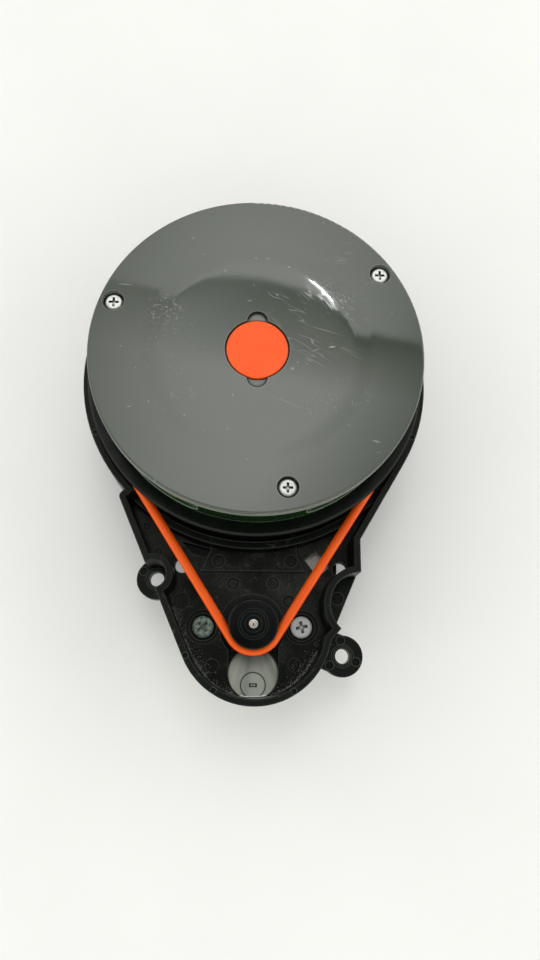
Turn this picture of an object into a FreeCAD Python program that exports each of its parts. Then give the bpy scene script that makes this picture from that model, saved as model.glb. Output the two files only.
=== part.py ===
import FreeCAD, Part
import math
import os

# Lidar sensor of a robot vacuum: a turret spun by a round belt from a motor in the tail.
# Millimetres. The turret turns about +Z through the origin, which lies on the rest plane.
# The tail with its motor points to -Y.

Vec = FreeCAD.Vector
UP = Vec(0, 0, 1)

# How far cutting tools run past the faces they cut
past = 1.0

# Heights that stack up from the rest plane
motor_height = 15.0
floor_thickness = 2.0
tail_wall_height = 8.5
skirt_depth = 3.0
ear_thickness = 3.0
band_height = 4.0
deck_rise = 2.0
deck_thickness = 2.0
rotor_gap = 5.0
lower_flange_thickness = 1.0
groove_width = 2.8
rim_thickness = 1.6
rotor_floor_thickness = 1.6
shell_height = 10.4
cover_thickness = 2.2

# Turret in plan
cover_radius = 38.0
cover_edge_radius = 0.6
cover_overhang = 0.8
shell_wall = 1.5
rim_reach = 2.05
rim_edge_radius = 0.45
lower_flange_reach = 1.25
spigot_height = 0.8
spigot_wall = 1.2
spigot_notch = 1.0
locating_gap = 0.1

# Belt drive
belt_diameter = 2.1
pitch_outset = 1.05
pulley_pitch_radius = 5.8
belt_clearance = 0.15

# Shallow dish in the middle of the cover, inside a low ring-shaped swell
swell_radius = 26.2
swell_crest_radius = 22.5
swell_height = 0.13
dish_radius = 21.0
dish_depth = 0.13
dish_curve = 900.0
dish_steps = 3
swell_steps = 4
crown_depth = 1.0

# Round cap and its finger notches in the middle of the cover
cap_radius = 7.0
cap_gap = 0.35
cap_thickness = 1.0
cap_edge_radius = 0.25
cap_inset = 0.3
cap_spigot_radius = 2.4
notch_width = 4.8
notch_reach = 9.3
notch_depth = 0.8

# Cover screws: distance from the cover's edge and direction
cover_screw_insets = ((3.4, 161.4), (3.4, 34.5), (5.3, -77.9))
column_radius = 2.3
column_web = 1.8
cover_screw_shank = 1.0
cover_screw_head = 2.05
cover_screw_head_height = 1.1
cover_screw_length = 7.0
well_radius = 2.45
well_depth = 1.7
screw_gap = 0.05
turret_screw_length = 8.0
turret_screw_head = 1.9
turret_screw_head_height = 1.0
turret_screw_sink = 0.2
head_round_share = 0.55
cross_reach_share = 1.1
cross_width_share = 0.28
cross_depth_share = 0.6

# Light apertures in the turret wall
aperture_width = 12.8
aperture_height = 6.4
aperture_corner = 1.8
bezel_width = 18.6
bezel_height = 8.0
bezel_corner = 2.4
bezel_depth = 0.45
laser_direction = -129.0
receiver_direction = -54.0
laser_bezel_direction = -125.0
receiver_bezel_direction = -57.0

# Hub and ball bearing
hub_radius = 8.5
hub_bore = 6.5
shoulder_radius = 9.6
bearing_radius = 13.0
bearing_height = 5.0
bearing_ring_wall = 1.4
ball_radius = 1.19
ball_count = 14
ball_clearance = 0.05
cage_wall = 0.8
cage_height = 3.3
pocket_clearance = 0.09
cup_wall = 2.0
cup_lip = 1.5
cup_lip_thickness = 1.5
bearing_depth = 1.0
clip_thickness = 0.9
clip_radius = 10.2
clip_groove_depth = 0.5
clip_opening = 40.0
hub_tail = 1.2

# Code ring under the turret and its light gate
code_ring_inset = 3.7
code_ring_wall = 1.0
code_ring_depth = 3.0
code_slot_width = 3.4
code_slot_depth = 2.0
code_slot_pitches = 15
gate_direction = 120.0
gate_width = 5.0
gate_radial_length = 7.0
gate_height = 4.4
gate_slot_width = 3.0
gate_slot_floor = 1.5

# Coils that carry power across the gap
ferrite_margin = 5.0
ferrite_width = 9.0
ferrite_thickness = 2.0
winding_margin = 2.0
winding_depth = 1.2
winding_sink = 0.15

# Circuit board in the turret and the optics on it
board_edge_gap = 1.9
board_thickness = 1.6
board_post_height = 1.0
board_post_radius = 2.2
board_post_insets = ((9.8, 90.0), (11.8, 190.0), (11.8, -10.0))
board_screw_shank = 0.9
board_screw_head = 1.7
board_screw_head_height = 1.0
column_notch_gap = 0.5
optics_height = 5.7
barrel_wall_gap = 0.5
holder_setback = 3.4
laser_inset = 13.2
laser_barrel_radius = 3.8
laser_barrel_length = 13.0
laser_holder_width = 10.0
laser_holder_rear_gap = 0.6
laser_lens_radius = 2.9
laser_diode_radius = 2.6
laser_diode_length = 3.0
receiver_inset = 14.2
receiver_barrel_radius = 4.6
receiver_barrel_length = 13.0
receiver_holder_width = 12.0
receiver_holder_rear_gap = 0.1
receiver_lens_radius = 3.8
sensor_board_width = 14.0
sensor_board_height = 9.6
sensor_board_thickness = 1.2
sensor_chip_size = 6.0
sensor_chip_thickness = 1.0
holder_crown = 0.7
lens_thickness = 2.2
lens_rim_step = 0.3
lens_seat = 0.8
laser_lens_bulge = 0.8
receiver_lens_bulge = 1.2
holder_round_share = 0.5
knurl_count = 10
knurl_radius = 0.45
knurl_start = 2.4
knurl_length = 3.0
diode_plug_length = 2.0
diode_leg_radius = 0.25
diode_leg_length = 3.0
diode_leg_circle = 1.2
link_radius = 2.5
link_height = 2.6
link_dome = 1.5
rotor_chip_plan = ((-0.5, 8.5, 9.0, 9.0, 1.2), (-12.0, 11.0, 6.0, 6.0, 1.0), (10.5, 14.0, 5.0, 4.0, 1.4),
                   (-1.5, -13.5, 5.0, 5.0, 1.4))
rotor_capacitor_places = ((18.0, 10.0), (18.0, 17.0), (-20.0, 2.0), (-24.0, 8.0))
capacitor_radius = 2.0
capacitor_height = 3.2
base_chip_plan = ((-11.5, -5.5, 5.0, 5.0, 1.2), (9.0, 14.0, 5.0, 6.0, 1.4), (8.0, -17.0, 6.0, 4.0, 1.2))
base_capacitor_places = ((20.0, -6.0), (20.0, 2.0), (-22.0, -2.0))

# Base housing in plan. Tail corners: distance outside the ring and direction from the turret axis.
ring_gap = 0.8
ring_wall = 1.7
housing_wall = 1.6
tail_margin = 1.85
tail_offset_x = 0.4
left_corner_outset = (1.93, -136.7)
left_corner_radius = 1.3
wall_edge_radius = 0.3
right_corner_outset = (5.28, -58.15)
hollow_radius = 7.4

# Plan positions in the tail, from the motor's axis
hollow_offset = (25.1, 4.8)
wall_root_offsets = ((15.4, -5.8), (20.5, -0.2))
left_ear_offset = (-23.2, 11.4)
right_ear_offset = (21.6, -6.6)
ledge_offsets = ((21.0, 13.9), (25.5, 13.0), (20.2, 0.85), (20.7, -0.9), (18.6, -2.6), (14.5, 1.0))
window_offset = (0.3, -10.6)
through_hole_offsets = ((-17.0, 14.5), (21.1, 13.7))
pocket_offsets = ((-17.4, 20.4), (-10.1, 18.5), (-11.3, 16.4), (-14.8, 17.4))
plateau_offsets = ((-12.7, 13.2), (12.6, 13.2), (10.6, 17.6), (10.6, 19.4), (-10.4, 19.4), (-10.4, 17.6))
face_button_offset = (0.3, -13.3)
plateau_marks = ((-8.3, 15.6), (9.2, 15.7))
floor_marks = ((-4.75, 10.2), (4.9, 10.4), (8.6, 6.1), (-9.3, -8.9), (10.0, -8.7))
small_floor_marks = ((-25.9, 23.95), (-22.9, 17.7))
ledge_marks = ((20.5, 6.9),)
pad_marks = ((-17.0, 6.0),)
ear_marks = ((-26.45, 13.27), (18.5, -8.7), (21.2, -2.9), (24.8, -7.9))

# Fixing ears and the low ledge beside the hollow
ear_radius = 4.9
ear_hole_radius = 1.75
ear_wall = 1.6
ear_ring_radius = 2.6
ear_ring_width = 0.3
ear_ring_depth = 0.2
ear_cup_radius = 3.15
ear_web_half = 4.6
ear_web_turn = -23.0
ear_web_reach = 8.0
ledge_rise = 1.2
can_pocket_gap = 0.25

# Features in the tail floor
pulley_recess_radius = 7.7
recess_depth = 1.0
window_radius = 5.85
boss_hole_radius = 3.3
motor_screw_spacing = 23.4
counterbore_radius = 3.9
counterbore_depth = 0.5
head_seat_radius = 3.1
head_seat_depth = 1.1
through_hole_radius = 1.8
slot_length = 5.2
slot_width = 3.9
slot_turn = -53.0
slot_x = 15.6
slot_outset = 2.7
pocket_depth = 1.5
plateau_rise = 0.35
wall_overlap = 0.5
mark_depth = 0.3
mark_radius = 1.45
small_mark_radius = 0.95
tiny_mark_radius = 0.6
pad_radius = 1.85
ring_mark_directions = (-158.6, -21.1)
tail_mark_directions = (-156.4, -122.5, -58.6)

# Drive motor
can_radius = 15.8
can_wall = 0.8
can_face = 1.0
rear_floor = 0.6
end_plate_spigot = 0.8
shaft_end_gap = 0.2
bush_overlap = 0.8
bush_sink = 0.2
button_slot_floor = 0.1
magnet_end_gap = 1.6
magnet_split = 3.0
commutator_gap = 1.2
stack_gap = 0.4
commutator_slit = 0.4
commutator_core = 0.8
end_plate_thickness = 1.6
face_boss_radius = 3.0
face_boss_height = 1.5
face_button_radius = 2.75
face_button_height = 0.5
button_slot_length = 1.9
button_slot_width = 0.9
shaft_radius = 1.0
shaft_round = 0.2
dimple_radius = 0.4
dimple_depth = 0.3
shaft_clearance = 0.03
bush_radius = 2.3
magnet_wall = 2.6
air_gap = 0.5
stack_face_gap = 2.0
pole_count = 3
pole_slot_width = 2.6
pole_body_radius = 5.0
commutator_radius = 2.8
commutator_height = 2.0
motor_screw_shank = 1.25
motor_screw_head = 2.55
motor_screw_head_height = 1.5
motor_screw_length = 3.4
motor_screw_turns = (40.0, 12.0)
terminal_width = 2.2
terminal_thickness = 0.5
terminal_reach = 3.2
terminal_spacing = 9.0
terminal_inner_reach = 9.48

# Drive pulley
pulley_flange_radius = 5.55
pulley_flange_round = 0.35
pulley_lower_radius = 6.9
pulley_hub_radius = 4.2
pulley_top_thickness = 1.2
pulley_lower_thickness = 1.0
pulley_floor_gap = 1.0
pulley_nose_radius = 1.95
pulley_nose_height = 0.5
pulley_ring_radius = 3.1
pulley_ring_width = 0.35
pulley_ring_depth = 0.3
shaft_stand_out = 0.6

# Bottom cover and what stands in it
bottom_cover_inset = 7.3
bottom_cover_wall = 1.5
nose_left_reach = 4.0
nose_right_reach = 5.4
nose_root = 7.0
nose_can_gap = 0.7
nose_socket_gap = 0.3725
nose_gap = 0.3
lug_radius = 3.2
lug_thickness = 2.0
lug_outset = 3.2
lug_root = 1.0
lug_directions = (45.0, 165.0, 255.0)
lug_boss_radius = 2.6
lug_boss_height = 2.0
lug_boss_roof = 0.4
cover_fixing_shank = 1.0
cover_fixing_head = 1.9
cover_fixing_head_height = 1.2
cover_fixing_length = 4.6
base_board_height = 6.0
base_board_gap = 1.0
tongue_gap = 0.4
base_post_inset = 6.5
base_post_directions = (150.0, 270.0, 30.0)
base_screw_bite = 3.0
header_width = 14.0
header_depth = 8.0
header_height = 5.0
header_wall = 0.8
header_rear_wall = 1.6
header_pin_setback = 1.2
header_slot_drop = 0.2
header_slot_root = 4.0
header_pins = 5
header_pin_pitch = 2.0
header_pin_size = 0.5
header_slot_gap = 0.3
socket_width = 5.0
socket_depth = 5.0
socket_height = 4.0
socket_wall = 0.7
socket_floor = 1.0
socket_back_wall = 1.4
socket_shift_x = 0.7
socket_shift_y = 0.5
socket_lid_low = 12.0
socket_lid_high = 13.4
socket_lid_margin = 0.2
socket_lid_shift = (0.3, 0.4)
socket_bar_width = 1.4
socket_bar_height = 1.0
photodiode_height = 5.0
rib_count = 6
rib_thickness = 1.2
rib_depth = 2.5
rib_end_gap = 1.0

# Levels worked out from the stack of heights
floor_bottom = motor_height
floor_top = floor_bottom + floor_thickness
wall_top = floor_top + tail_wall_height
skirt_bottom = floor_bottom - skirt_depth
ear_top = skirt_bottom + ear_thickness
band_top = floor_top + band_height
ledge_top = floor_bottom + ledge_rise
deck_top = floor_top + deck_rise
deck_bottom = deck_top - deck_thickness
rotor_bottom = deck_top + rotor_gap
groove_bottom = rotor_bottom + lower_flange_thickness
belt_level = groove_bottom + groove_width / 2
rim_bottom = groove_bottom + groove_width
rim_top = rim_bottom + rim_thickness
rotor_floor_top = rotor_bottom + rotor_floor_thickness
cover_bottom = rim_top + shell_height
cover_top = cover_bottom + cover_thickness
bearing_top = deck_top - bearing_depth
bearing_bottom = bearing_top - bearing_height
hub_bottom = bearing_bottom - clip_thickness - hub_tail
board_bottom = rotor_floor_top + board_post_height
board_top = board_bottom + board_thickness
optics_level = board_top + optics_height
base_board_top = base_board_height + board_thickness

# Radii worked out from the cover's edge inwards and outwards
belt_radius = belt_diameter / 2
groove_radius = belt_radius + belt_clearance
shell_radius = cover_radius - cover_overhang
shell_inner = shell_radius - shell_wall
turret_pitch_radius = shell_radius + pitch_outset
rim_radius = turret_pitch_radius + rim_reach
lower_flange_radius = turret_pitch_radius + lower_flange_reach
code_ring_radius = shell_inner - code_ring_inset
ferrite_outer = code_ring_radius - code_ring_wall - ferrite_margin
ferrite_inner = ferrite_outer - ferrite_width
rotor_board_radius = shell_inner - board_edge_gap
ring_inner_radius = lower_flange_radius + ring_gap
ring_radius = ring_inner_radius + ring_wall
tail_radius = can_radius + tail_margin
bottom_cover_radius = ring_inner_radius - bottom_cover_inset
lug_circle = bottom_cover_radius + lug_outset
base_board_radius = bottom_cover_radius - bottom_cover_wall - base_board_gap
ball_circle = (hub_radius + bearing_radius) / 2
laser_holder_depth = laser_barrel_length - holder_setback - laser_holder_rear_gap
receiver_holder_depth = receiver_barrel_length - holder_setback - receiver_holder_rear_gap

# The slot stands off the ring, the socket under it, the nose round that, and the motor clear of the nose
slot_centre = (slot_x, -ring_radius - slot_outset)
socket_place = (slot_centre[0] + socket_shift_x, slot_centre[1] + socket_shift_y)
nose_left = slot_x - nose_left_reach
nose_right = slot_x + nose_right_reach
nose_end = socket_place[1] - socket_depth / 2 - nose_socket_gap - bottom_cover_wall
centre_distance = math.sqrt(can_radius ** 2 - nose_left ** 2) + nose_can_gap - nose_end


def at(place, level):
    """Point at a plan position and a height."""
    return Vec(place[0], place[1], level)


def polar(radius, degrees):
    """Plan position at a distance and a direction from the turret axis."""
    turn = math.radians(degrees)
    return (radius * math.cos(turn), radius * math.sin(turn))


def in_tail(offset):
    """Plan position given from the motor's axis."""
    return (offset[0], offset[1] - centre_distance)


def barrel_front(reach):
    """How far forward a lens barrel stands whose outer side is at this distance from the middle."""
    return -math.sqrt((shell_inner - barrel_wall_gap) ** 2 - reach ** 2)


# Places worked out in plan
motor_place = in_tail((0.0, 0.0))
tail_place = in_tail((tail_offset_x, 0.0))
left_ear = in_tail(left_ear_offset)
right_ear = in_tail(right_ear_offset)
window_place = in_tail(window_offset)
face_button_place = in_tail(face_button_offset)
tail_left_corner = polar(ring_radius + left_corner_outset[0], left_corner_outset[1])
tail_right_corner = polar(ring_radius + right_corner_outset[0], right_corner_outset[1])
cover_screw_places = [(cover_radius - inset, direction) for inset, direction in cover_screw_insets]
board_post_places = [(rotor_board_radius - inset, direction) for inset, direction in board_post_insets]
base_post_places = [(base_board_radius - base_post_inset, direction) for direction in base_post_directions]
laser_x = laser_inset - shell_inner
laser_front = barrel_front(laser_barrel_radius - laser_x)
receiver_x = shell_inner - receiver_inset
receiver_front = barrel_front(receiver_x + receiver_barrel_radius)


def disc(radius, low, high, place=(0.0, 0.0)):
    """Upright cylinder between two levels."""
    return Part.makeCylinder(radius, high - low, at(place, low), UP)


def tube(outer, inner, low, high, place=(0.0, 0.0)):
    """Upright tube between two levels."""
    return disc(outer, low, high, place).cut(disc(inner, low, high, place))


def block(low, high):
    """Box between two opposite corners."""
    return Part.makeBox(high[0] - low[0], high[1] - low[1], high[2] - low[2], Vec(*low))


def prism(points, low, high):
    """Upright prism over a plan polygon."""
    corners = [at(point, low) for point in points]
    face = Part.Face(Part.makePolygon(corners + corners[:1]))
    return face.extrude(Vec(0, 0, high - low))


def turned(profile):
    """Solid turned about the turret axis from (radius, level) points."""
    corners = [Vec(radius, 0, level) for radius, level in profile]
    face = Part.Face(Part.makePolygon(corners + corners[:1]))
    return face.revolve(Vec(0, 0, 0), UP, 360)


def lying(radius, start, length):
    """Cylinder along -Y from its rear end."""
    return Part.makeCylinder(radius, length, Vec(*start), Vec(0, -1, 0))


def moved(shape, place, level=0.0):
    """Copy of a shape shifted in plan and height."""
    copy = shape.copy()
    copy.translate(at(place, level))
    return copy


def rotated(shape, degrees, centre=(0.0, 0.0)):
    """Copy of a shape turned about an upright line."""
    copy = shape.copy()
    copy.rotate(at(centre, 0.0), UP, degrees)
    return copy


def together(shapes):
    """Union of a list of shapes, cleaned of seams between them."""
    first = shapes[0]
    return first.multiFuse(shapes[1:]).removeSplitter() if len(shapes) > 1 else first


def without(shape, tools):
    """Shape with every tool of a list taken out."""
    return shape.cut(Part.makeCompound(tools)) if tools else shape


def round_top(shape, level, radius):
    """Shape with the edges that lie wholly at one level rounded."""
    edges = [edge for edge in shape.Edges
             if all(abs(vertex.Z - level) < 1e-6 for vertex in edge.Vertexes)
             and abs(edge.BoundBox.ZMax - level) < 1e-6 and abs(edge.BoundBox.ZMin - level) < 1e-6]
    return shape.makeFillet(radius, edges)


def inset_polygon(points, distance):
    """Plan polygon, listed clockwise, with each side moved inwards by a distance."""
    lines = []
    for start, end in zip(points, points[1:] + points[:1]):
        length = math.hypot(end[0] - start[0], end[1] - start[1])
        along = ((end[0] - start[0]) / length, (end[1] - start[1]) / length)
        inward = (-along[1], along[0])
        lines.append(((start[0] + inward[0] * distance, start[1] + inward[1] * distance), along))
    corners = []
    for (first, a), (second, b) in zip(lines[-1:] + lines[:-1], lines):
        cross = a[0] * b[1] - a[1] * b[0]
        step = ((second[0] - first[0]) * b[1] - (second[1] - first[1]) * b[0]) / cross
        corners.append((first[0] + a[0] * step, first[1] + a[1] * step))
    return corners


def tangent_point(centre, radius, point, side):
    """Where a line from a point touches a circle, on the side given by +1 or -1."""
    gap = math.hypot(point[0] - centre[0], point[1] - centre[1])
    base = math.atan2(point[1] - centre[1], point[0] - centre[0])
    turn = base + side * math.acos(radius / gap)
    return (centre[0] + radius * math.cos(turn), centre[1] + radius * math.sin(turn))


def pan_screw(head_radius, head_height, shank_radius, length):
    """Screw with a low rounded head and a cross recess, its head seated at level 0."""
    head = disc(head_radius, 0, head_height)
    head = round_top(head, head_height, head_height * head_round_share)
    shank = disc(shank_radius, -length, 0)
    arm_length = head_radius * cross_reach_share
    arm_width = head_radius * cross_width_share
    depth = head_height * cross_depth_share
    arms = []
    for across, along in ((arm_width, arm_length), (arm_length, arm_width)):
        arms.append(block((-along / 2, -across / 2, head_height - depth),
                          (along / 2, across / 2, head_height + past)))
    return without(head.fuse(shank), arms).removeSplitter()


def upside_down(shape):
    """Copy of a screw turned over, so that its head points down."""
    copy = shape.copy()
    copy.rotate(Vec(0, 0, 0), Vec(1, 0, 0), 180)
    return copy


def rounded_window(width, height, corner, reach, direction, level):
    """Rounded rectangular bar that points outwards from the turret axis."""
    bar = block((0, -width / 2, level - height / 2), (reach, width / 2, level + height / 2))
    edges = [edge for edge in bar.Edges if abs(edge.BoundBox.XLength - reach) < 1e-6]
    return rotated(bar.makeFillet(corner, edges), direction)


# The turret

def crown_points():
    """Profile of the cover's middle: a ball-shaped dish, a crest, and an S-shaped fall to the flat."""
    points = []
    for step in range(dish_steps + 1):
        radius = dish_radius * step / dish_steps
        points.append(Vec(radius, 0, cover_top - dish_depth + radius * radius / (2 * dish_curve)))
    for step in range(swell_steps + 1):
        share = step / swell_steps
        radius = swell_crest_radius + (swell_radius - swell_crest_radius) * share
        fall = share * share * (3 - 2 * share)
        points.append(Vec(radius, 0, cover_top + swell_height * (1 - fall)))
    return points


def crown():
    """Slice of the cover's middle under the dish and the swell."""
    points = crown_points()
    curve = Part.BSplineCurve()
    curve.interpolate(Points=points, InitialTangent=Vec(1, 0, 0), FinalTangent=Vec(1, 0, 0))
    low = cover_top - crown_depth
    rest = Part.makePolygon([points[-1], Vec(swell_radius, 0, low), Vec(0, 0, low), points[0]])
    face = Part.Face(Part.Wire([curve.toShape()] + rest.Edges))
    return face.revolve(Vec(0, 0, 0), UP, 360)


def top_cover():
    """Glossy lid with a dished middle, a recess for the cap, finger notches and three screw wells."""
    lid = round_top(disc(cover_radius, cover_bottom, cover_top), cover_top, cover_edge_radius)
    lid = lid.cut(disc(swell_radius, cover_top - crown_depth, cover_top + past)).fuse(crown())
    lid = lid.fuse(tube(shell_inner - locating_gap, shell_inner - locating_gap - spigot_wall,
                        cover_bottom - spigot_height, cover_bottom))
    cuts = [disc(cap_radius + cap_gap, cover_top - cap_thickness - cap_inset, cover_top + past)]
    cuts.append(disc(cap_spigot_radius + locating_gap, cover_bottom - past, cover_top))
    for side in (1, -1):
        end = notch_reach - notch_width / 2
        cuts.append(disc(notch_width / 2, cover_top - notch_depth, cover_top + past, (0.0, side * end)))
        low, high = sorted((0.0, side * end))
        cuts.append(block((-notch_width / 2, low, cover_top - notch_depth),
                          (notch_width / 2, high, cover_top + past)))
    for radius, direction in cover_screw_places:
        place = polar(radius, direction)
        cuts.append(disc(well_radius, cover_top - well_depth, cover_top + past, place))
        cuts.append(disc(cover_screw_shank + screw_gap, cover_bottom - past, cover_top, place))
        cuts.append(disc(column_radius + spigot_notch, cover_bottom - spigot_height - past, cover_bottom,
                         place))
    return without(lid, cuts).removeSplitter()


def centre_cap():
    """Coloured round cap with a softened edge and a push-in spigot."""
    high = cover_top - cap_inset
    cap = round_top(disc(cap_radius, high - cap_thickness, high), high, cap_edge_radius)
    return cap.fuse(disc(cap_spigot_radius, cover_bottom, high - cap_thickness)).removeSplitter()


def cover_screws():
    """Three bright screws sunk in the wells of the cover."""
    screw = pan_screw(cover_screw_head, cover_screw_head_height, cover_screw_shank, cover_screw_length)
    return [moved(screw, polar(radius, direction), cover_top - well_depth)
            for radius, direction in cover_screw_places]


def turret_shell():
    """Glossy wall with two light apertures, sunk bezels and three screw columns."""
    wall = tube(shell_radius, shell_inner, rim_top, cover_bottom)
    columns = [disc(column_radius, rim_top, cover_bottom, polar(radius, direction))
               for radius, direction in cover_screw_places]
    webs = [rotated(block((radius, -column_web / 2, rim_top),
                          (shell_inner + wall_overlap, column_web / 2, cover_bottom)), direction)
            for radius, direction in cover_screw_places]
    body = together([wall] + columns + webs)
    body = body.common(disc(shell_radius, rim_top, cover_bottom))
    cuts = []
    for radius, direction in cover_screw_places:
        cuts.append(disc(cover_screw_shank + screw_gap, rim_top - past, cover_bottom + past,
                         polar(radius, direction)))
    for direction in (laser_direction, receiver_direction):
        cuts.append(rounded_window(aperture_width, aperture_height, aperture_corner,
                                   cover_radius + 2 * past, direction, optics_level))
    skin = tube(shell_radius + past, shell_radius - bezel_depth, rim_top, cover_bottom)
    for direction in (laser_bezel_direction, receiver_bezel_direction):
        bezel = rounded_window(bezel_width, bezel_height, bezel_corner,
                               cover_radius + 2 * past, direction, optics_level)
        cuts.append(bezel.common(skin))
    keep = [disc(column_radius, rim_top, cover_bottom, polar(radius, direction))
            for radius, direction in cover_screw_places]
    tools = together(cuts[len(keep):]).cut(Part.makeCompound(keep))
    return without(body, cuts[:len(keep)] + [tools]).removeSplitter()


def belt_groove(pitch_radius, reach):
    """Ring that is taken out of a wheel to leave a round-bottomed belt groove."""
    round_part = Part.makeTorus(pitch_radius, groove_radius, Vec(0, 0, belt_level), UP)
    flank = tube(reach, pitch_radius, belt_level - groove_width / 2, belt_level + groove_width / 2)
    return round_part.fuse(flank)


def code_ring():
    """Castellated ring with one wide tooth that tells the turret's angle."""
    ring = tube(code_ring_radius, code_ring_radius - code_ring_wall,
                rotor_bottom - code_ring_depth, rotor_bottom)
    low = rotor_bottom - code_ring_depth - past
    slot = block((code_ring_radius - code_ring_wall - past, -code_slot_width / 2, low),
                 (code_ring_radius + past, code_slot_width / 2, low + past + code_slot_depth))
    turns = [rotated(slot, index * 360.0 / code_slot_pitches) for index in range(1, code_slot_pitches)]
    return without(ring, turns)


def turret_base():
    """Moulded wheel with the belt groove, overhanging rim, floor, hub and code ring."""
    spigot_outer = shell_inner - locating_gap
    spigot_inner = spigot_outer - spigot_wall
    profile = [(hub_bore, hub_bottom), (hub_radius, hub_bottom), (hub_radius, bearing_top),
               (shoulder_radius, bearing_top), (shoulder_radius, rotor_bottom),
               (lower_flange_radius, rotor_bottom), (lower_flange_radius, groove_bottom),
               (rim_radius, rim_bottom), (rim_radius, rim_top - rim_edge_radius),
               (rim_radius - rim_edge_radius, rim_top), (spigot_outer, rim_top),
               (spigot_outer, rim_top + spigot_height), (spigot_inner, rim_top + spigot_height),
               (spigot_inner, rotor_floor_top), (hub_bore, rotor_floor_top)]
    wheel = turned(profile).cut(belt_groove(turret_pitch_radius, rim_radius + 2 * past))
    posts = [disc(board_post_radius, rotor_floor_top, board_bottom, polar(radius, direction))
             for radius, direction in board_post_places]
    seats = [disc(column_radius, rotor_floor_top, rim_top, polar(radius, direction))
             for radius, direction in cover_screw_places]
    body = together([wheel, code_ring()] + posts + seats)
    clip_low = bearing_bottom - clip_thickness
    cuts = [tube(hub_radius + past, hub_radius - clip_groove_depth, clip_low, bearing_bottom)]
    for radius, direction in board_post_places:
        cuts.append(disc(board_screw_shank + screw_gap, rotor_floor_top, board_bottom + past,
                         polar(radius, direction)))
    for radius, direction in cover_screw_places:
        place = polar(radius, direction)
        cuts.append(disc(turret_screw_head + screw_gap, rotor_bottom - past,
                         rotor_bottom + turret_screw_head_height, place))
        cuts.append(disc(cover_screw_shank + screw_gap, rotor_bottom, rim_top + spigot_height + past, place))
        cuts.append(disc(column_radius + spigot_notch, rim_top, rim_top + spigot_height + past, place))
    return without(body, cuts).removeSplitter()


def turret_screws():
    """Three screws from below that hold the shell on the wheel."""
    screw = upside_down(pan_screw(turret_screw_head, turret_screw_head_height - turret_screw_sink,
                                  cover_screw_shank, turret_screw_length))
    level = rotor_bottom + turret_screw_head_height
    return [moved(screw, polar(radius, direction), level) for radius, direction in cover_screw_places]


def rotor_board():
    """Circuit board that fills the turret, notched round the screw columns."""
    board = disc(rotor_board_radius, board_bottom, board_top)
    cuts = []
    for radius, direction in cover_screw_places:
        cuts.append(disc(column_radius + column_notch_gap, board_bottom - past, board_top + past,
                         polar(radius, direction)))
    for radius, direction in board_post_places:
        cuts.append(disc(board_screw_shank + screw_gap, board_bottom - past, board_top + past,
                         polar(radius, direction)))
    return without(board, cuts)


def rotor_board_screws():
    """Three small screws that hold the turret's circuit board."""
    screw = pan_screw(board_screw_head, board_screw_head_height, board_screw_shank,
                      board_thickness + board_post_height)
    return [moved(screw, polar(radius, direction), board_top) for radius, direction in board_post_places]


def parts_on_board(chip_plan, capacitor_places, level):
    """Flat chips, given by their middles and sizes, and round capacitors on a board's face."""
    parts = []
    for x, y, width, depth, height in chip_plan:
        parts.append(block((x - width / 2, y - depth / 2, level),
                           (x + width / 2, y + depth / 2, level + height)))
    for place in capacitor_places:
        parts.append(disc(capacitor_radius, level, level + capacitor_height, place))
    return parts


def rotor_chips():
    """Processor, memory, two regulators and four capacitors on the turret's board."""
    return parts_on_board(rotor_chip_plan, rotor_capacitor_places, board_top)


def optic_holder(x, width, depth, front, bore):
    """Moulded block with a bore along -Y that carries one lens barrel."""
    high = optics_level + bore + holder_crown
    holder = block((x - width / 2, front, board_top), (x + width / 2, front + depth, high))
    edges = [edge for edge in holder.Edges
             if abs(edge.BoundBox.YLength - depth) < 1e-6 and edge.BoundBox.ZMin > high - 1e-6]
    holder = holder.makeFillet(bore * holder_round_share, edges)
    return holder.cut(lying(bore, (x, front + depth + past, optics_level), depth + 2 * past))


def optic_barrel(x, radius, front, length, lens_radius):
    """Turned barrel with a focusing flange and a stepped mouth for its lens."""
    rear = front + length
    barrel = lying(radius, (x, rear, optics_level), length)
    barrel = barrel.cut(lying(lens_radius - lens_seat, (x, rear + past, optics_level), length + 2 * past))
    barrel = barrel.cut(lying(lens_radius, (x, front + lens_thickness, optics_level), lens_thickness + past))
    notch = lying(knurl_radius, (x + radius, front + knurl_start, optics_level), knurl_length)
    notches = []
    for index in range(knurl_count):
        copy = notch.copy()
        copy.rotate(Vec(x, 0, optics_level), Vec(0, 1, 0), index * 360.0 / knurl_count)
        notches.append(copy)
    return without(barrel, notches)


def lens(x, radius, front, bulge):
    """Lens with a domed outer face, a little inside its barrel's mouth."""
    body = lying(radius, (x, front + lens_thickness, optics_level), lens_thickness - lens_rim_step)
    curve = (radius * radius + bulge * bulge) / (2 * bulge)
    ball = Part.makeSphere(curve, Vec(x, front + lens_rim_step + curve, optics_level))
    return body.common(ball)


def laser_diode():
    """Can-type laser diode at the rear of its barrel, with three legs."""
    rear = laser_front + laser_barrel_length
    can = lying(laser_diode_radius, (laser_x, rear + laser_diode_length, optics_level), laser_diode_length)
    plug = lying(laser_lens_radius - lens_seat, (laser_x, rear, optics_level), diode_plug_length)
    legs = []
    for dx, dz in ((-1, 0), (1, 0), (0, -1)):
        start = (laser_x + dx * diode_leg_circle, rear + laser_diode_length + diode_leg_length,
                 optics_level + dz * diode_leg_circle)
        legs.append(lying(diode_leg_radius, start, diode_leg_length))
    return together([can, plug] + legs)


def sensor_board():
    """Small upright board behind the receiver barrel."""
    rear = receiver_front + receiver_barrel_length + sensor_chip_thickness
    return block((receiver_x - sensor_board_width / 2, rear, board_top),
                 (receiver_x + sensor_board_width / 2, rear + sensor_board_thickness,
                  board_top + sensor_board_height))


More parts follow.
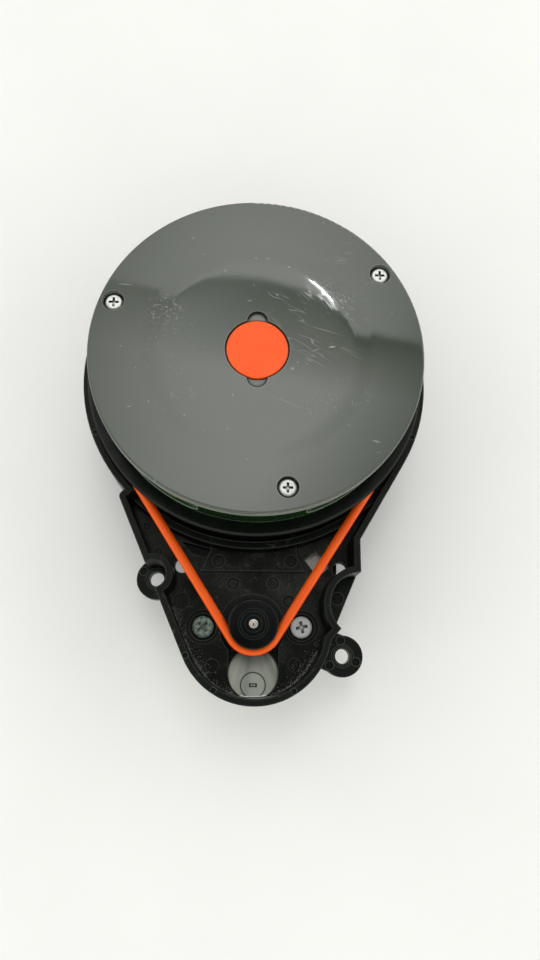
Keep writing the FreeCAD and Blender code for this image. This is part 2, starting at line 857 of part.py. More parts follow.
def sensor_chip():
    """Line image sensor between its board and the receiver barrel."""
    rear = receiver_front + receiver_barrel_length
    half = sensor_chip_size / 2
    return block((receiver_x - half, rear, optics_level - half),
                 (receiver_x + half, rear + sensor_chip_thickness, optics_level + half))


def data_lamp():
    """Infrared lamp under the board that sends data down through the hub."""
    lamp = disc(link_radius, board_bottom - link_height, board_bottom)
    edges = [edge for edge in lamp.Edges if edge.BoundBox.ZMax < board_bottom - link_height + 1e-6]
    return lamp.makeFillet(link_dome, edges)


def ferrite_ring(low, high, open_end):
    """Ferrite ring with a channel for its winding in the face at open_end."""
    ring = tube(ferrite_outer, ferrite_inner, low, high)
    channel_low, channel_high = sorted((open_end, open_end + math.copysign(winding_depth, low + high
                                                                           - 2 * open_end)))
    return ring.cut(tube(ferrite_outer - winding_margin, ferrite_inner + winding_margin,
                         channel_low, channel_high))


def winding(open_end, other_end):
    """Copper winding in the channel of a ferrite ring."""
    toward = math.copysign(1.0, other_end - open_end)
    low, high = sorted((open_end + toward * winding_sink, open_end + toward * winding_depth))
    return tube(ferrite_outer - winding_margin, ferrite_inner + winding_margin, low, high)


def ball_track(radius):
    """Ring of the balls' running space, used to cut both bearing rings."""
    return Part.makeTorus(ball_circle, radius, Vec(0, 0, (bearing_bottom + bearing_top) / 2), UP)


def bearing_inner_ring():
    """Inner ring pressed on the turret's hub."""
    ring = tube(hub_radius + bearing_ring_wall, hub_radius, bearing_bottom, bearing_top)
    return ring.cut(ball_track(ball_radius + ball_clearance))


def bearing_outer_ring():
    """Outer ring pressed in the base's cup."""
    ring = tube(bearing_radius, bearing_radius - bearing_ring_wall, bearing_bottom, bearing_top)
    return ring.cut(ball_track(ball_radius + ball_clearance))


def ball_turns():
    """Directions of the bearing's balls, in degrees."""
    return [(index + 0.5) * 360.0 / ball_count for index in range(ball_count)]


def bearing_balls():
    """Ring of steel balls."""
    level = (bearing_bottom + bearing_top) / 2
    return [Part.makeSphere(ball_radius, at(polar(ball_circle, turn), level)) for turn in ball_turns()]


def bearing_cage():
    """Cage that keeps the balls evenly apart."""
    middle = (bearing_bottom + bearing_top) / 2
    ring = tube(ball_circle + cage_wall / 2, ball_circle - cage_wall / 2,
                middle - cage_height / 2, middle + cage_height / 2)
    drill = Part.makeCylinder(ball_radius + pocket_clearance, 3 * cage_wall,
                              Vec(ball_circle - 1.5 * cage_wall, 0, middle), Vec(1, 0, 0))
    return without(ring, [rotated(drill, turn) for turn in ball_turns()])


def hub_clip():
    """Open spring ring that keeps the bearing on the hub."""
    low = bearing_bottom - clip_thickness
    ring = tube(clip_radius, hub_radius - clip_groove_depth, low, bearing_bottom)
    half = math.radians(clip_opening / 2)
    far = clip_radius * 2
    wedge = prism([(0.0, 0.0), (far * math.cos(half), -far * math.sin(half)),
                   (far * math.cos(half), far * math.sin(half))], low - past, bearing_bottom + past)
    return ring.cut(wedge)


# The base

def plan_solid(inset, low, high):
    """Housing outline, set in by a distance, as a solid between two levels."""
    left_touch = tangent_point(tail_place, tail_radius, tail_left_corner, 1)
    right_touch = tangent_point((0.0, 0.0), ring_radius, tail_right_corner, 1)
    outline = [tail_left_corner, left_touch, in_tail((tail_offset_x, -tail_radius / 3))]
    outline += [in_tail(offset) for offset in wall_root_offsets]
    outline += [(tail_right_corner[0], in_tail(hollow_offset)[1]), tail_right_corner, right_touch, (0.0, 0.0)]
    corners = inset_polygon(outline, inset)
    middle = prism(corners, low, high)
    if left_corner_radius > inset:
        upright = [edge for edge in middle.Edges
                   if all(edge.distToShape(Part.Vertex(at(corners[0], level)))[0] < 1e-6
                          for level in (low, high))]
        middle = middle.makeFillet(left_corner_radius - inset, upright)
    shape = together([disc(ring_radius - inset, low, high),
                      disc(tail_radius - inset, low, high, tail_place), middle])
    return shape.cut(disc(hollow_radius + inset, low - past, high + past, in_tail(hollow_offset)))


def ear_plates():
    """Low plates outside the walls: the right ear with its web, and the ledge."""
    web = rotated(block((-ear_web_reach, -ear_web_half, skirt_bottom), (0.0, ear_web_half, ear_top)), ear_web_turn)
    ear = together([disc(ear_radius, skirt_bottom, ear_top, right_ear), moved(web, right_ear)])
    ledge = prism([in_tail(spot) for spot in ledge_offsets], skirt_bottom, ledge_top)
    return together([round_top(ear, ear_top, wall_edge_radius), round_top(ledge, ledge_top, wall_edge_radius)])


def housing_body():
    """Walls, floors, ears, low front band and bearing cup of the housing, before its details."""
    body = plan_solid(0.0, skirt_bottom, wall_top)
    body = without(body, [plan_solid(housing_wall, floor_top, wall_top + past),
                          plan_solid(housing_wall, skirt_bottom - past, floor_bottom)])
    plates = ear_plates().cut(plan_solid(housing_wall, skirt_bottom - past, ledge_top + past))
    band = tube(ring_radius, ring_inner_radius, skirt_bottom, band_top)
    collar = tube(ear_cup_radius + ear_wall, ear_cup_radius, ear_top, wall_top, left_ear)
    collar = collar.common(plan_solid(0.0, ear_top, wall_top))
    left_plate = round_top(disc(ear_radius, skirt_bottom, ear_top, left_ear), ear_top, wall_edge_radius)
    deck = disc(ring_inner_radius + wall_overlap, floor_bottom, deck_top)
    body = together([body, plates, left_plate, band, collar, deck])
    body = without(body, [disc(ear_cup_radius, ear_top, wall_top + past, left_ear),
                          disc(ring_inner_radius, deck_top, wall_top + past),
                          disc(ring_inner_radius, skirt_bottom - past, deck_bottom),
                          disc(can_radius + can_pocket_gap, skirt_bottom - past, floor_bottom, motor_place)])
    return round_top(body, wall_top, wall_edge_radius)


def bearing_cup():
    """Cup under the deck, braced by ribs, that holds the outer bearing ring."""
    low = bearing_bottom - cup_lip_thickness
    cup = disc(bearing_radius + cup_wall, low, deck_bottom)
    rib = block((bearing_radius, -rib_thickness / 2, deck_bottom - rib_depth),
                (bottom_cover_radius - bottom_cover_wall - rib_end_gap, rib_thickness / 2, deck_bottom))
    ribs = [rotated(rib, (index + 0.5) * 360.0 / rib_count) for index in range(rib_count)]
    return together([cup] + ribs)


def motor_screw_places():
    """Plan positions of the two motor screws."""
    half = motor_screw_spacing / 2
    return [(motor_place[0] - half, motor_place[1]), (motor_place[0] + half, motor_place[1])]


def floor_cuts():
    """Recesses, holes and windows of the tail floor."""
    recess = floor_top - recess_depth
    inside = plan_solid(housing_wall, floor_bottom - past, wall_top)
    lane = block((window_place[0] - window_radius, window_place[1], recess),
                 (window_place[0] + window_radius, motor_place[1], floor_top + past))
    cuts = [disc(pulley_recess_radius, recess, floor_top + past, motor_place), lane,
            disc(boss_hole_radius, floor_bottom - past, floor_top, motor_place),
            disc(window_radius, floor_bottom - past, floor_top + past, window_place).common(inside)]
    for place in motor_screw_places():
        cuts.append(disc(counterbore_radius, floor_top - counterbore_depth, floor_top + past, place))
        cuts.append(disc(head_seat_radius, floor_top - head_seat_depth, floor_top + past, place))
        cuts.append(disc(motor_screw_shank + screw_gap, floor_bottom - past, floor_top, place))
    for place in map(in_tail, through_hole_offsets):
        cuts.append(disc(through_hole_radius, skirt_bottom - past, floor_top + past, place).common(inside))
    slot = block((-slot_length / 2, -slot_width / 2, floor_bottom - past),
                 (slot_length / 2, slot_width / 2, floor_top + past))
    cuts.append(moved(rotated(slot, slot_turn), slot_centre))
    pocket = [in_tail(spot) for spot in pocket_offsets]
    cuts.append(prism(pocket, floor_top - pocket_depth, floor_top + past))
    return cuts


def ejector_marks():
    """Shallow round marks that moulding pins leave on floor, ledge and wall tops."""
    marks = []
    plateau_top = floor_top + plateau_rise
    groups = ((plateau_marks, mark_radius, plateau_top), (floor_marks, mark_radius, floor_top),
              (small_floor_marks, small_mark_radius, floor_top), (ledge_marks, mark_radius, ledge_top),
              (pad_marks, pad_radius, floor_top), (ear_marks, small_mark_radius, ear_top))
    for offsets, radius, level in groups:
        for offset in offsets:
            marks.append(disc(radius, level - mark_depth, level + past, in_tail(offset)))
    tops = [polar(ring_radius - ring_wall / 2, direction) for direction in ring_mark_directions]
    for direction in tail_mark_directions:
        x, y = polar(tail_radius - housing_wall / 2, direction)
        tops.append((tail_place[0] + x, tail_place[1] + y))
    for place in tops:
        marks.append(disc(tiny_mark_radius, wall_top - mark_depth, wall_top + past, place))
    return marks


def base_housing():
    """Moulded tray with ring wall, tail, ears, stepped floor and bearing cup."""
    plateau = prism([in_tail(spot) for spot in plateau_offsets], floor_top, floor_top + plateau_rise)
    plateau = plateau.cut(disc(ring_inner_radius + wall_overlap, floor_top - past, floor_top + 2 * past))
    bosses = [disc(lug_boss_radius, deck_top, deck_top + lug_boss_height, polar(lug_circle, direction))
              for direction in lug_directions]
    body = together([housing_body(), bearing_cup(), plateau] + bosses)
    cuts = floor_cuts() + ejector_marks()
    cuts.append(disc(bearing_radius, bearing_bottom, deck_top + past))
    cuts.append(disc(bearing_radius - cup_lip, bearing_bottom - cup_lip_thickness - past, bearing_bottom))
    for ear in (left_ear, right_ear):
        cuts.append(disc(ear_hole_radius, skirt_bottom - past, ear_top + past, ear))
        cuts.append(tube(ear_ring_radius, ear_ring_radius - ear_ring_width, ear_top - ear_ring_depth,
                         ear_top + past, ear))
    for direction in lug_directions:
        cuts.append(disc(cover_fixing_shank + screw_gap, deck_bottom - past,
                         deck_top + lug_boss_height - lug_boss_roof, polar(lug_circle, direction)))
    return without(body, cuts).removeSplitter()


def drive_belt():
    """Endless round belt: two arcs and two straight runs."""
    lean = math.degrees(math.asin((turret_pitch_radius - pulley_pitch_radius) / centre_distance))
    section = Part.Face(Part.Wire(Part.makeCircle(belt_radius, Vec(0, 0, 0), Vec(0, 1, 0))))

    def arc(radius, place, start, sweep):
        face = section.copy()
        face.translate(Vec(radius, 0, 0))
        face.rotate(Vec(0, 0, 0), UP, start)
        solid = face.revolve(Vec(0, 0, 0), UP, sweep)
        return moved(solid, place, belt_level)

    runs = [arc(turret_pitch_radius, (0.0, 0.0), -lean, 180 + 2 * lean),
            arc(pulley_pitch_radius, motor_place, 180 + lean, 180 - 2 * lean)]
    for angle in (180 + lean, -lean):
        near = polar(turret_pitch_radius, angle)
        far = polar(pulley_pitch_radius, angle)
        end = at((far[0] + motor_place[0], far[1] + motor_place[1]), belt_level)
        start = at(near, belt_level)
        run = end.sub(start)
        runs.append(Part.makeCylinder(belt_radius, run.Length, start, run))
    return together(runs)


def light_gate():
    """Forked light gate on the deck that reads the code ring."""
    middle = code_ring_radius - code_ring_wall / 2
    gate = block((middle - gate_radial_length / 2, -gate_width / 2, deck_top),
                 (middle + gate_radial_length / 2, gate_width / 2, deck_top + gate_height))
    gap = block((middle - gate_slot_width / 2, -gate_width, deck_top + gate_slot_floor),
                (middle + gate_slot_width / 2, gate_width, deck_top + gate_height + past))
    return rotated(gate.cut(gap), gate_direction)


# The motor and its pulley

def motor_can():
    """Drawn steel can with a bearing boss and a pressed button in its face."""
    can = disc(can_radius, end_plate_thickness, motor_height, motor_place)
    button = disc(face_button_radius, motor_height, motor_height + face_button_height, face_button_place)
    button = button.common(disc(can_radius, motor_height, motor_height + 2 * past, motor_place))
    slot_x, slot_y = face_button_place
    slot_floor = motor_height + button_slot_floor
    slot = block((slot_x - button_slot_length / 2, slot_y - button_slot_width / 2, slot_floor),
                 (slot_x + button_slot_length / 2, slot_y + button_slot_width / 2, motor_height + 2 * past))
    body = together([can, button, disc(face_boss_radius, motor_height, motor_height + face_boss_height,
                                       motor_place)])
    inside = motor_height - can_face
    cuts = [slot, disc(can_radius - can_wall, end_plate_thickness - past, inside, motor_place),
            disc(bush_radius, inside - past, motor_height + face_boss_height + past, motor_place)]
    for place in motor_screw_places():
        cuts.append(disc(motor_screw_shank, motor_height - can_face - past, motor_height + past, place))
    return without(body, cuts).removeSplitter()


def motor_bush():
    """Sintered bush in the boss of the motor can."""
    return tube(bush_radius, shaft_radius + shaft_clearance, motor_height - can_face - bush_overlap,
                motor_height + face_boss_height - bush_sink, motor_place)


def motor_end_plate():
    """Moulded end plate with the rear bearing seat and slots for the terminals."""
    plate = disc(can_radius, 0.0, end_plate_thickness, motor_place)
    seat = disc(can_radius - can_wall - locating_gap, end_plate_thickness,
                end_plate_thickness + end_plate_spigot, motor_place)
    body = plate.fuse(seat)
    cuts = [disc(shaft_radius + shaft_clearance, rear_floor, end_plate_thickness + 2 * past, motor_place)]
    for side in (-1, 1):
        cuts.append(terminal_bar(side))
    return without(body, cuts).removeSplitter()


def terminal_bar(side):
    """One motor terminal, a flat tab that leaves the end plate towards the turret."""
    middle = motor_place[0] + side * terminal_spacing / 2
    inner = motor_place[1] + terminal_inner_reach
    outer = motor_place[1] + can_radius + terminal_reach
    return block((middle - terminal_width / 2, inner, rear_floor),
                 (middle + terminal_width / 2, outer, rear_floor + terminal_thickness))


def motor_magnets():
    """Two arc magnets against the inside of the can."""
    outer = can_radius - can_wall
    low = end_plate_thickness + magnet_end_gap
    high = motor_height - can_face - magnet_end_gap
    ring = tube(outer, outer - magnet_wall, low, high, motor_place)
    gap = block((motor_place[0] - magnet_split / 2, motor_place[1] - can_radius, low - past),
                (motor_place[0] + magnet_split / 2, motor_place[1] + can_radius, high + past))
    return ring.cut(gap).Solids


def armature_levels():
    """Lowest and highest level of the armature's stack."""
    low = end_plate_thickness + commutator_gap + commutator_height + stack_gap
    return low, motor_height - can_face - bush_overlap - stack_face_gap


def motor_armature():
    """Three-pole laminated stack with its windings hidden in the slots."""
    low, high = armature_levels()
    outer = can_radius - can_wall - magnet_wall - air_gap
    stack = disc(outer, low, high, motor_place)
    cuts = [disc(shaft_radius, low - past, high + past, motor_place)]
    for index in range(pole_count):
        slot = block((pole_body_radius, -pole_slot_width / 2, low - past),
                     (outer + past, pole_slot_width / 2, high + past))
        cuts.append(moved(rotated(slot, 30 + index * 360.0 / pole_count), motor_place))
    return without(stack, cuts)


def motor_commutator():
    """Copper commutator on the shaft below the stack."""
    low = armature_levels()[0] - stack_gap - commutator_height
    ring = tube(commutator_radius, shaft_radius, low, low + commutator_height, motor_place)
    cuts = []
    for index in range(pole_count):
        cut = block((shaft_radius + commutator_core, -commutator_slit / 2, low - past),
                    (commutator_radius + past, commutator_slit / 2, low + commutator_height + past))
        cuts.append(moved(rotated(cut, 90 + index * 360.0 / pole_count), motor_place))
    return without(ring, cuts)


def motor_shaft():
    """Steel shaft with a centre dimple, from the rear seat to above the pulley."""
    high = pulley_top() + pulley_nose_height + shaft_stand_out
    shaft = round_top(disc(shaft_radius, rear_floor + shaft_end_gap, high, motor_place), high, shaft_round)
    dimple = Part.makeCone(0.0, dimple_radius, dimple_depth, at(motor_place, high - dimple_depth), UP)
    return shaft.cut(dimple)


def pulley_top():
    """Level of the pulley's flat top."""
    return belt_level + groove_radius + pulley_top_thickness


def drive_pulley():
    """Small black pulley whose top flange is narrower than its lower one."""
    top = pulley_top()
    lower_flange_top = belt_level - groove_width / 2
    lower_flange_bottom = lower_flange_top - pulley_lower_thickness
    body = together([disc(pulley_hub_radius, floor_top + pulley_floor_gap, lower_flange_bottom),
                     disc(pulley_lower_radius, lower_flange_bottom, lower_flange_top),
                     disc(pulley_pitch_radius, lower_flange_top, belt_level),
                     round_top(disc(pulley_flange_radius, belt_level, top), top, pulley_flange_round),
                     disc(pulley_nose_radius, top, top + pulley_nose_height)])
    ring = tube(pulley_ring_radius + pulley_ring_width / 2, pulley_ring_radius - pulley_ring_width / 2,
                top - pulley_ring_depth, top + past)
    groove = Part.makeTorus(pulley_pitch_radius, groove_radius, Vec(0, 0, belt_level), UP)
    body = without(body, [groove, ring,
                          disc(shaft_radius, 0, top + pulley_nose_height + past)])
    return moved(body, motor_place).removeSplitter()


def motor_screw(side):
    """Pan-head screw through the floor into the motor's face."""
    screw = pan_screw(motor_screw_head, motor_screw_head_height, motor_screw_shank - screw_gap,
                      motor_screw_length - head_seat_depth)
    return moved(rotated(screw, motor_screw_turns[side]), motor_screw_places()[side],
                 floor_top - head_seat_depth)


# Under the base

def cover_plan(inset, low, high):
    """Outline of the round part of the bottom cover."""
    return disc(bottom_cover_radius - inset, low, high)


def nose_plan(inset, low, high):
    """Outline of the nose that reaches under the tail's slot."""
    return block((nose_left + inset, nose_end + inset, low),
                 (nose_right - inset, nose_root - bottom_cover_radius, high))


def bottom_cover():
    """Shallow cup under the base with a nose, screw lugs and board posts."""
    nose_top = skirt_bottom - nose_gap
    shell = cover_plan(0.0, 0.0, deck_bottom).fuse(nose_plan(0.0, 0.0, nose_top))
    inner = cover_plan(bottom_cover_wall, bottom_cover_wall, deck_bottom + past)
    inner = inner.fuse(nose_plan(bottom_cover_wall, bottom_cover_wall, nose_top + past))
    lugs = []
    for direction in lug_directions:
        tongue = block((bottom_cover_radius - lug_root, -lug_radius, deck_bottom - lug_thickness),
                       (lug_circle, lug_radius, deck_bottom))
        lugs.append(rotated(tongue, direction))
        lugs.append(disc(lug_radius, deck_bottom - lug_thickness, deck_bottom, polar(lug_circle, direction)))
    posts = [disc(board_post_radius, 0.0, base_board_height, polar(radius, direction))
             for radius, direction in base_post_places]
    body = together([shell.cut(inner)] + lugs + posts)
    cuts = [block((-header_width / 2 - header_slot_gap, bottom_cover_radius - header_slot_root,
                   base_board_height - header_slot_drop),
                  (header_width / 2 + header_slot_gap, bottom_cover_radius + past,
                   base_board_top + header_height + header_slot_gap))]
    for radius, direction in base_post_places:
        cuts.append(disc(board_screw_shank + screw_gap, bottom_cover_wall, base_board_height + past,
                         polar(radius, direction)))
    for direction in lug_directions:
        cuts.append(disc(cover_fixing_shank + screw_gap, 0.0, deck_bottom + past,
                         polar(lug_circle, direction)))
    return without(body, cuts).removeSplitter()


def bottom_cover_screws():
    """Three screws from below through the lugs."""
    screw = upside_down(pan_screw(cover_fixing_head, cover_fixing_head_height, cover_fixing_shank,
                                  cover_fixing_length))
    return [moved(screw, polar(lug_circle, direction), deck_bottom - lug_thickness)
            for direction in lug_directions]


def base_board():
    """Round circuit board in the bottom cover, with a tongue under the tail's slot."""
    tongue = nose_plan(bottom_cover_wall + tongue_gap, base_board_height, base_board_top)
    board = disc(base_board_radius, base_board_height, base_board_top).fuse(tongue)
    cuts = [disc(board_screw_shank + screw_gap, base_board_height - past, base_board_top + past,
                 polar(radius, direction)) for radius, direction in base_post_places]
    return without(board, cuts).removeSplitter()


def base_board_screws():
    """Three small screws that hold the base's circuit board."""
    screw = pan_screw(board_screw_head, board_screw_head_height, board_screw_shank,
                      board_thickness + base_screw_bite)
    return [moved(screw, polar(radius, direction), base_board_top) for radius, direction in base_post_places]


def base_chips():
    """Driver chips and capacitors on the base's board."""
    return parts_on_board(base_chip_plan, base_capacitor_places, base_board_top)


def photodiode():
    """Receiver of the data lamp, upright in the middle of the base's board."""
    return round_top(disc(link_radius, base_board_top, base_board_top + photodiode_height),
                     base_board_top + photodiode_height, link_dome)


def cable_header():
    """Shrouded header whose mouth shows in the bottom cover's wall."""
    rear = bottom_cover_radius - header_depth
    body = block((-header_width / 2, rear, base_board_top),
                 (header_width / 2, bottom_cover_radius, base_board_top + header_height))
    mouth = block((-header_width / 2 + header_wall, rear + header_rear_wall, base_board_top + header_wall),
                  (header_width / 2 - header_wall, bottom_cover_radius + past,
                   base_board_top + header_height - header_wall))
    return body.cut(mouth)


def header_pin_row():
    """Five square pins in the header."""
    rear = bottom_cover_radius - header_depth
    level = base_board_top + header_height / 2
    half = header_pin_size / 2
    pins = []
    for index in range(header_pins):
        x = (index - (header_pins - 1) / 2) * header_pin_pitch
        pins.append(block((x - half, rear + header_rear_wall, level - half),
                          (x + half, bottom_cover_radius - header_pin_setback, level + half)))
    return pins


def motor_socket():
    """Pale socket on the board's tongue, open to one side, with a barred lid under the tail's slot."""
    x, y = socket_place
    body = block((x - socket_width / 2, y - socket_depth / 2, base_board_top),
                 (x + socket_width / 2, y + socket_depth / 2, base_board_top + socket_height))
    mouth = block((x - socket_width / 2 + socket_back_wall, y - socket_depth / 2 + socket_wall,
                   base_board_top + socket_floor),
                  (x + socket_width / 2 + past, y + socket_depth / 2 - socket_wall,
                   base_board_top + socket_height - socket_floor))
    neck = block((x - socket_width / 2, y - socket_depth / 2, base_board_top + socket_height),
                 (x + socket_width / 2, y + socket_depth / 2, socket_lid_low))
    half_length = slot_length / 2 + socket_lid_margin
    half_width = slot_width / 2 + socket_lid_margin
    lid = block((-half_length, -half_width, socket_lid_low), (half_length, half_width, socket_lid_high))
    bar = block((-half_length, -half_width, socket_lid_high),
                (half_length, socket_bar_width - half_width, socket_lid_high + socket_bar_height))
    lid = moved(rotated(together([lid, bar]), slot_turn),
                (slot_centre[0] + socket_lid_shift[0], slot_centre[1] + socket_lid_shift[1]))
    return together([body.cut(mouth), neck, lid])


def all_nodes():
    """Every sub-part by its node name."""
    rotor_ferrite_low = rotor_bottom - ferrite_thickness
    stator_ferrite_high = deck_top + ferrite_thickness
    return {
        "top_cover": top_cover(),
        "centre_cap": centre_cap(),
        "cover_screws": cover_screws(),
        "turret_shell": turret_shell(),
        "turret_base": turret_base(),
        "turret_screws": turret_screws(),
        "rotor_board": rotor_board(),
        "rotor_board_screws": rotor_board_screws(),
        "rotor_chips": rotor_chips(),
        "laser_holder": optic_holder(laser_x, laser_holder_width, laser_holder_depth,
                                     laser_front + holder_setback, laser_barrel_radius),
        "laser_barrel": optic_barrel(laser_x, laser_barrel_radius, laser_front, laser_barrel_length,
                                     laser_lens_radius),
        "laser_lens": lens(laser_x, laser_lens_radius, laser_front, laser_lens_bulge),
        "laser_diode": laser_diode(),
        "receiver_holder": optic_holder(receiver_x, receiver_holder_width, receiver_holder_depth,
                                        receiver_front + holder_setback, receiver_barrel_radius),
        "receiver_barrel": optic_barrel(receiver_x, receiver_barrel_radius, receiver_front,
                                        receiver_barrel_length, receiver_lens_radius),
        "receiver_lens": lens(receiver_x, receiver_lens_radius, receiver_front, receiver_lens_bulge),
        "sensor_board": sensor_board(),
        "sensor_chip": sensor_chip(),
        "data_lamp": data_lamp(),
        "rotor_ferrite": ferrite_ring(rotor_ferrite_low, rotor_bottom, rotor_ferrite_low),
        "rotor_coil": winding(rotor_ferrite_low, rotor_bottom),
        "bearing_inner_ring": bearing_inner_ring(),
        "hub_clip": hub_clip(),
        "bearing_cage": bearing_cage(),
        "bearing_balls": bearing_balls(),
        "base_housing": base_housing(),
        "bearing_outer_ring": bearing_outer_ring(),
        "stator_ferrite": ferrite_ring(deck_top, stator_ferrite_high, stator_ferrite_high),
        "stator_coil": winding(stator_ferrite_high, deck_top),
        "light_gate": light_gate(),
        "drive_belt": drive_belt(),
        "motor_can": motor_can(),
        "motor_bush": motor_bush(),
        "motor_end_plate": motor_end_plate(),
        "motor_terminals": [terminal_bar(-1), terminal_bar(1)],
        "motor_magnets": motor_magnets(),
        "motor_armature": motor_armature(),
        "motor_commutator": motor_commutator(),
        "motor_shaft": motor_shaft(),
        "drive_pulley": drive_pulley(),
        "motor_screw_left": motor_screw(0),
        "motor_screw_right": motor_screw(1),
        "bottom_cover": bottom_cover(),
        "bottom_cover_screws": bottom_cover_screws(),
        "base_board": base_board(),
        "base_board_screws": base_board_screws(),
        "base_chips": base_chips(),
        "photodiode": photodiode(),
        "cable_header": cable_header(),
        "header_pins": header_pin_row(),
        "motor_socket": motor_socket(),
    }


def write_nodes():
    """Write each sub-part to its own STEP file."""
    os.makedirs("parts", exist_ok=True)
    for name, shape in all_nodes().items():
        solid = Part.makeCompound(shape) if isinstance(shape, list) else shape
        solid.exportStep("parts/" + name + ".step")
        box = solid.BoundBox
        print(f"{name}: {len(solid.Solids)} solids, {solid.Volume:.1f} mm3, valid {solid.isValid()}, "
              f"z {box.ZMin:.2f} to {box.ZMax:.2f}")


write_nodes()
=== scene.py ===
"""Looks of a belt-driven lidar module: a glossy turret on a black tray, seen from above its tail.

Everything is in metres in the CAD frame: +Z up along the turret's axis, the tail towards -Y.
"""

from __future__ import annotations

import logging
import math
from dataclasses import dataclass, field
from enum import Enum

import bpy
import numpy as np
from mathutils import Matrix, Vector


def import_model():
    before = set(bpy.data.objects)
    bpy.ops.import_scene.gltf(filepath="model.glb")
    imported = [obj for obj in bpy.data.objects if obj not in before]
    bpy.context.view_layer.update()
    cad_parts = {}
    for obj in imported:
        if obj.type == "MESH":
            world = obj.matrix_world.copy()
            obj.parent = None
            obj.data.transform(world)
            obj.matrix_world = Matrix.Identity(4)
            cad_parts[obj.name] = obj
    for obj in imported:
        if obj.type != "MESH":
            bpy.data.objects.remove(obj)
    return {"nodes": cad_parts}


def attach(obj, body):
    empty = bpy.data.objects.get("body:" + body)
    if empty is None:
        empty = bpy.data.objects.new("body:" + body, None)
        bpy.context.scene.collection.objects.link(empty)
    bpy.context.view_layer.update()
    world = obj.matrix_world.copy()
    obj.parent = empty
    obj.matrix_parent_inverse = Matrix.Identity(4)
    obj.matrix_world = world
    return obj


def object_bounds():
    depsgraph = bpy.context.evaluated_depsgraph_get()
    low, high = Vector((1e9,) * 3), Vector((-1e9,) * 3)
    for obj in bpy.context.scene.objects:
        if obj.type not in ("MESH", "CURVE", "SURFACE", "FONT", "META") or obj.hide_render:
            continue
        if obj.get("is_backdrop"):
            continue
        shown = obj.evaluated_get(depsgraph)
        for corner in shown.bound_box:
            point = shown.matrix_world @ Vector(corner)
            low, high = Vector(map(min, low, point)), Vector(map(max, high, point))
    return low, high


MM = 0.001
LOG = logging.getLogger("lidar")

Colour = tuple[float, float, float, float]
Place = tuple[float, float, float]
Nodes = dict[str, bpy.types.Object]
Tree = bpy.types.NodeTree
Socket = bpy.types.NodeSocket

# Socket numbers of Blender's Mix node when it mixes colours.
MIX_FACTOR, MIX_A, MIX_B, MIX_RESULT = 0, 6, 7, 2
# Plan place of the motor's axis.
MOTOR_AXIS: Place = (0.0, -0.06, 0.0)
# Keeps X and Y of a vector and drops Z.
PLAN: Place = (1.0, 1.0, 0.0)

# Scratches break after this share of their length, and a patch fades out beyond this share of
# its reach.
BREAK_LENGTH, FULL_REACH = 0.6, 0.4
# Noise value above which a scratch of share 0 is kept, how far it drops for share 1, and how
# soft the break is.
BREAK_START, BREAK_DROP, BREAK_SOFT = 0.66, 0.28, 0.1
# A nick is full up to this share of its half size, and a dot up to this share of its radius.
NICK_CORE, DOT_CORE = 0.3, 0.5
# Openness of a corner at which its colour begins and at which it is full.
CORNER_OPEN, CORNER_SHUT = 0.97, 0.75
# Upward part of the normal at which dust begins to lie and at which all of it lies.
DUST_STEEP, DUST_LEVEL = 0.3, 0.9
# Grit times drift at which dust begins and at which it is full.
DUST_THIN, DUST_THICK = 0.20, 0.40
# Upward part of the normal above which a face counts as nearly level.
NEARLY_LEVEL = 0.97
# Width in mm of the belt in which a rim's ease grows from nothing.
RIM_SOFT = 1.0
# Noise values at which the second colour begins and is full, and the same for the smears.
CLOUD_THIN, CLOUD_FULL = 0.35, 0.65
SMEAR_THIN, SMEAR_FULL = 0.3, 0.7
# Smears are this share of the clouds' size.
SMEAR_SIZE = 0.6
# Streaks per radian of the painted fan of reflections on a turned face.
SHEEN_FAN_STREAKS = 2.2
# How much rougher a full mark is.
MARK_ROUGH = 0.3

# The camera's sensor in mm, and the nearest and farthest it sees in metres.
SENSOR_WIDTH, CLIP_NEAR, CLIP_FAR = 36.0, 0.01, 10.0
# Least upward part of a direction, so that its slopes stay finite near the horizon.
LEAST_RISE = 0.05

# Corners of an octahedron, and its sides with their faces outward.
OCTAHEDRON = np.array([(1, 0, 0), (0, 1, 0), (-1, 0, 0), (0, -1, 0), (0, 0, 1), (0, 0, -1)], float)
OCTAHEDRON_SIDES = np.array([(0, 1, 4), (1, 2, 4), (2, 3, 4), (3, 0, 4),
                             (1, 0, 5), (2, 1, 5), (3, 2, 5), (0, 3, 5)])


def linear(code: str) -> Colour:
    """Turns an sRGB hex code into a linear colour.

    Args:
        code: the colour as #RRGGBB.

    Returns:
        Red, green, blue and an alpha of 1, all linear.
    """
    shares = [int(code[i:i + 2], 16) / 255 for i in (1, 3, 5)]
    red, green, blue = [s / 12.92 if s <= 0.04045 else ((s + 0.055) / 1.055) ** 2.4 for s in shares]
    return red, green, blue, 1.0


def add(tree: Tree, kind: str, inputs: dict, **settings) -> bpy.types.Node:
    """Adds one shader node with its settings and links.

    Args:
        tree: the node tree to add to.
        kind: the node's type without the leading ShaderNode.
        inputs: a constant, an output socket, or a node whose first output is meant, for each
            input by name or number.
        settings: properties of the node itself.

    Returns:
        The new node.
    """
    node = tree.nodes.new("ShaderNode" + kind)
    for name, value in settings.items():
        setattr(node, name, value)
    for name, value in inputs.items():
        if isinstance(value, bpy.types.Node):
            value = value.outputs[0]
        if isinstance(value, Socket):
            tree.links.new(value, node.inputs[name])
        else:
            node.inputs[name].default_value = value
    return node


def pitch(size_mm: float) -> float:
    """A texture's scale for features of that size in millimetres, on coordinates in metres."""
    return 1.0 / (size_mm * MM)


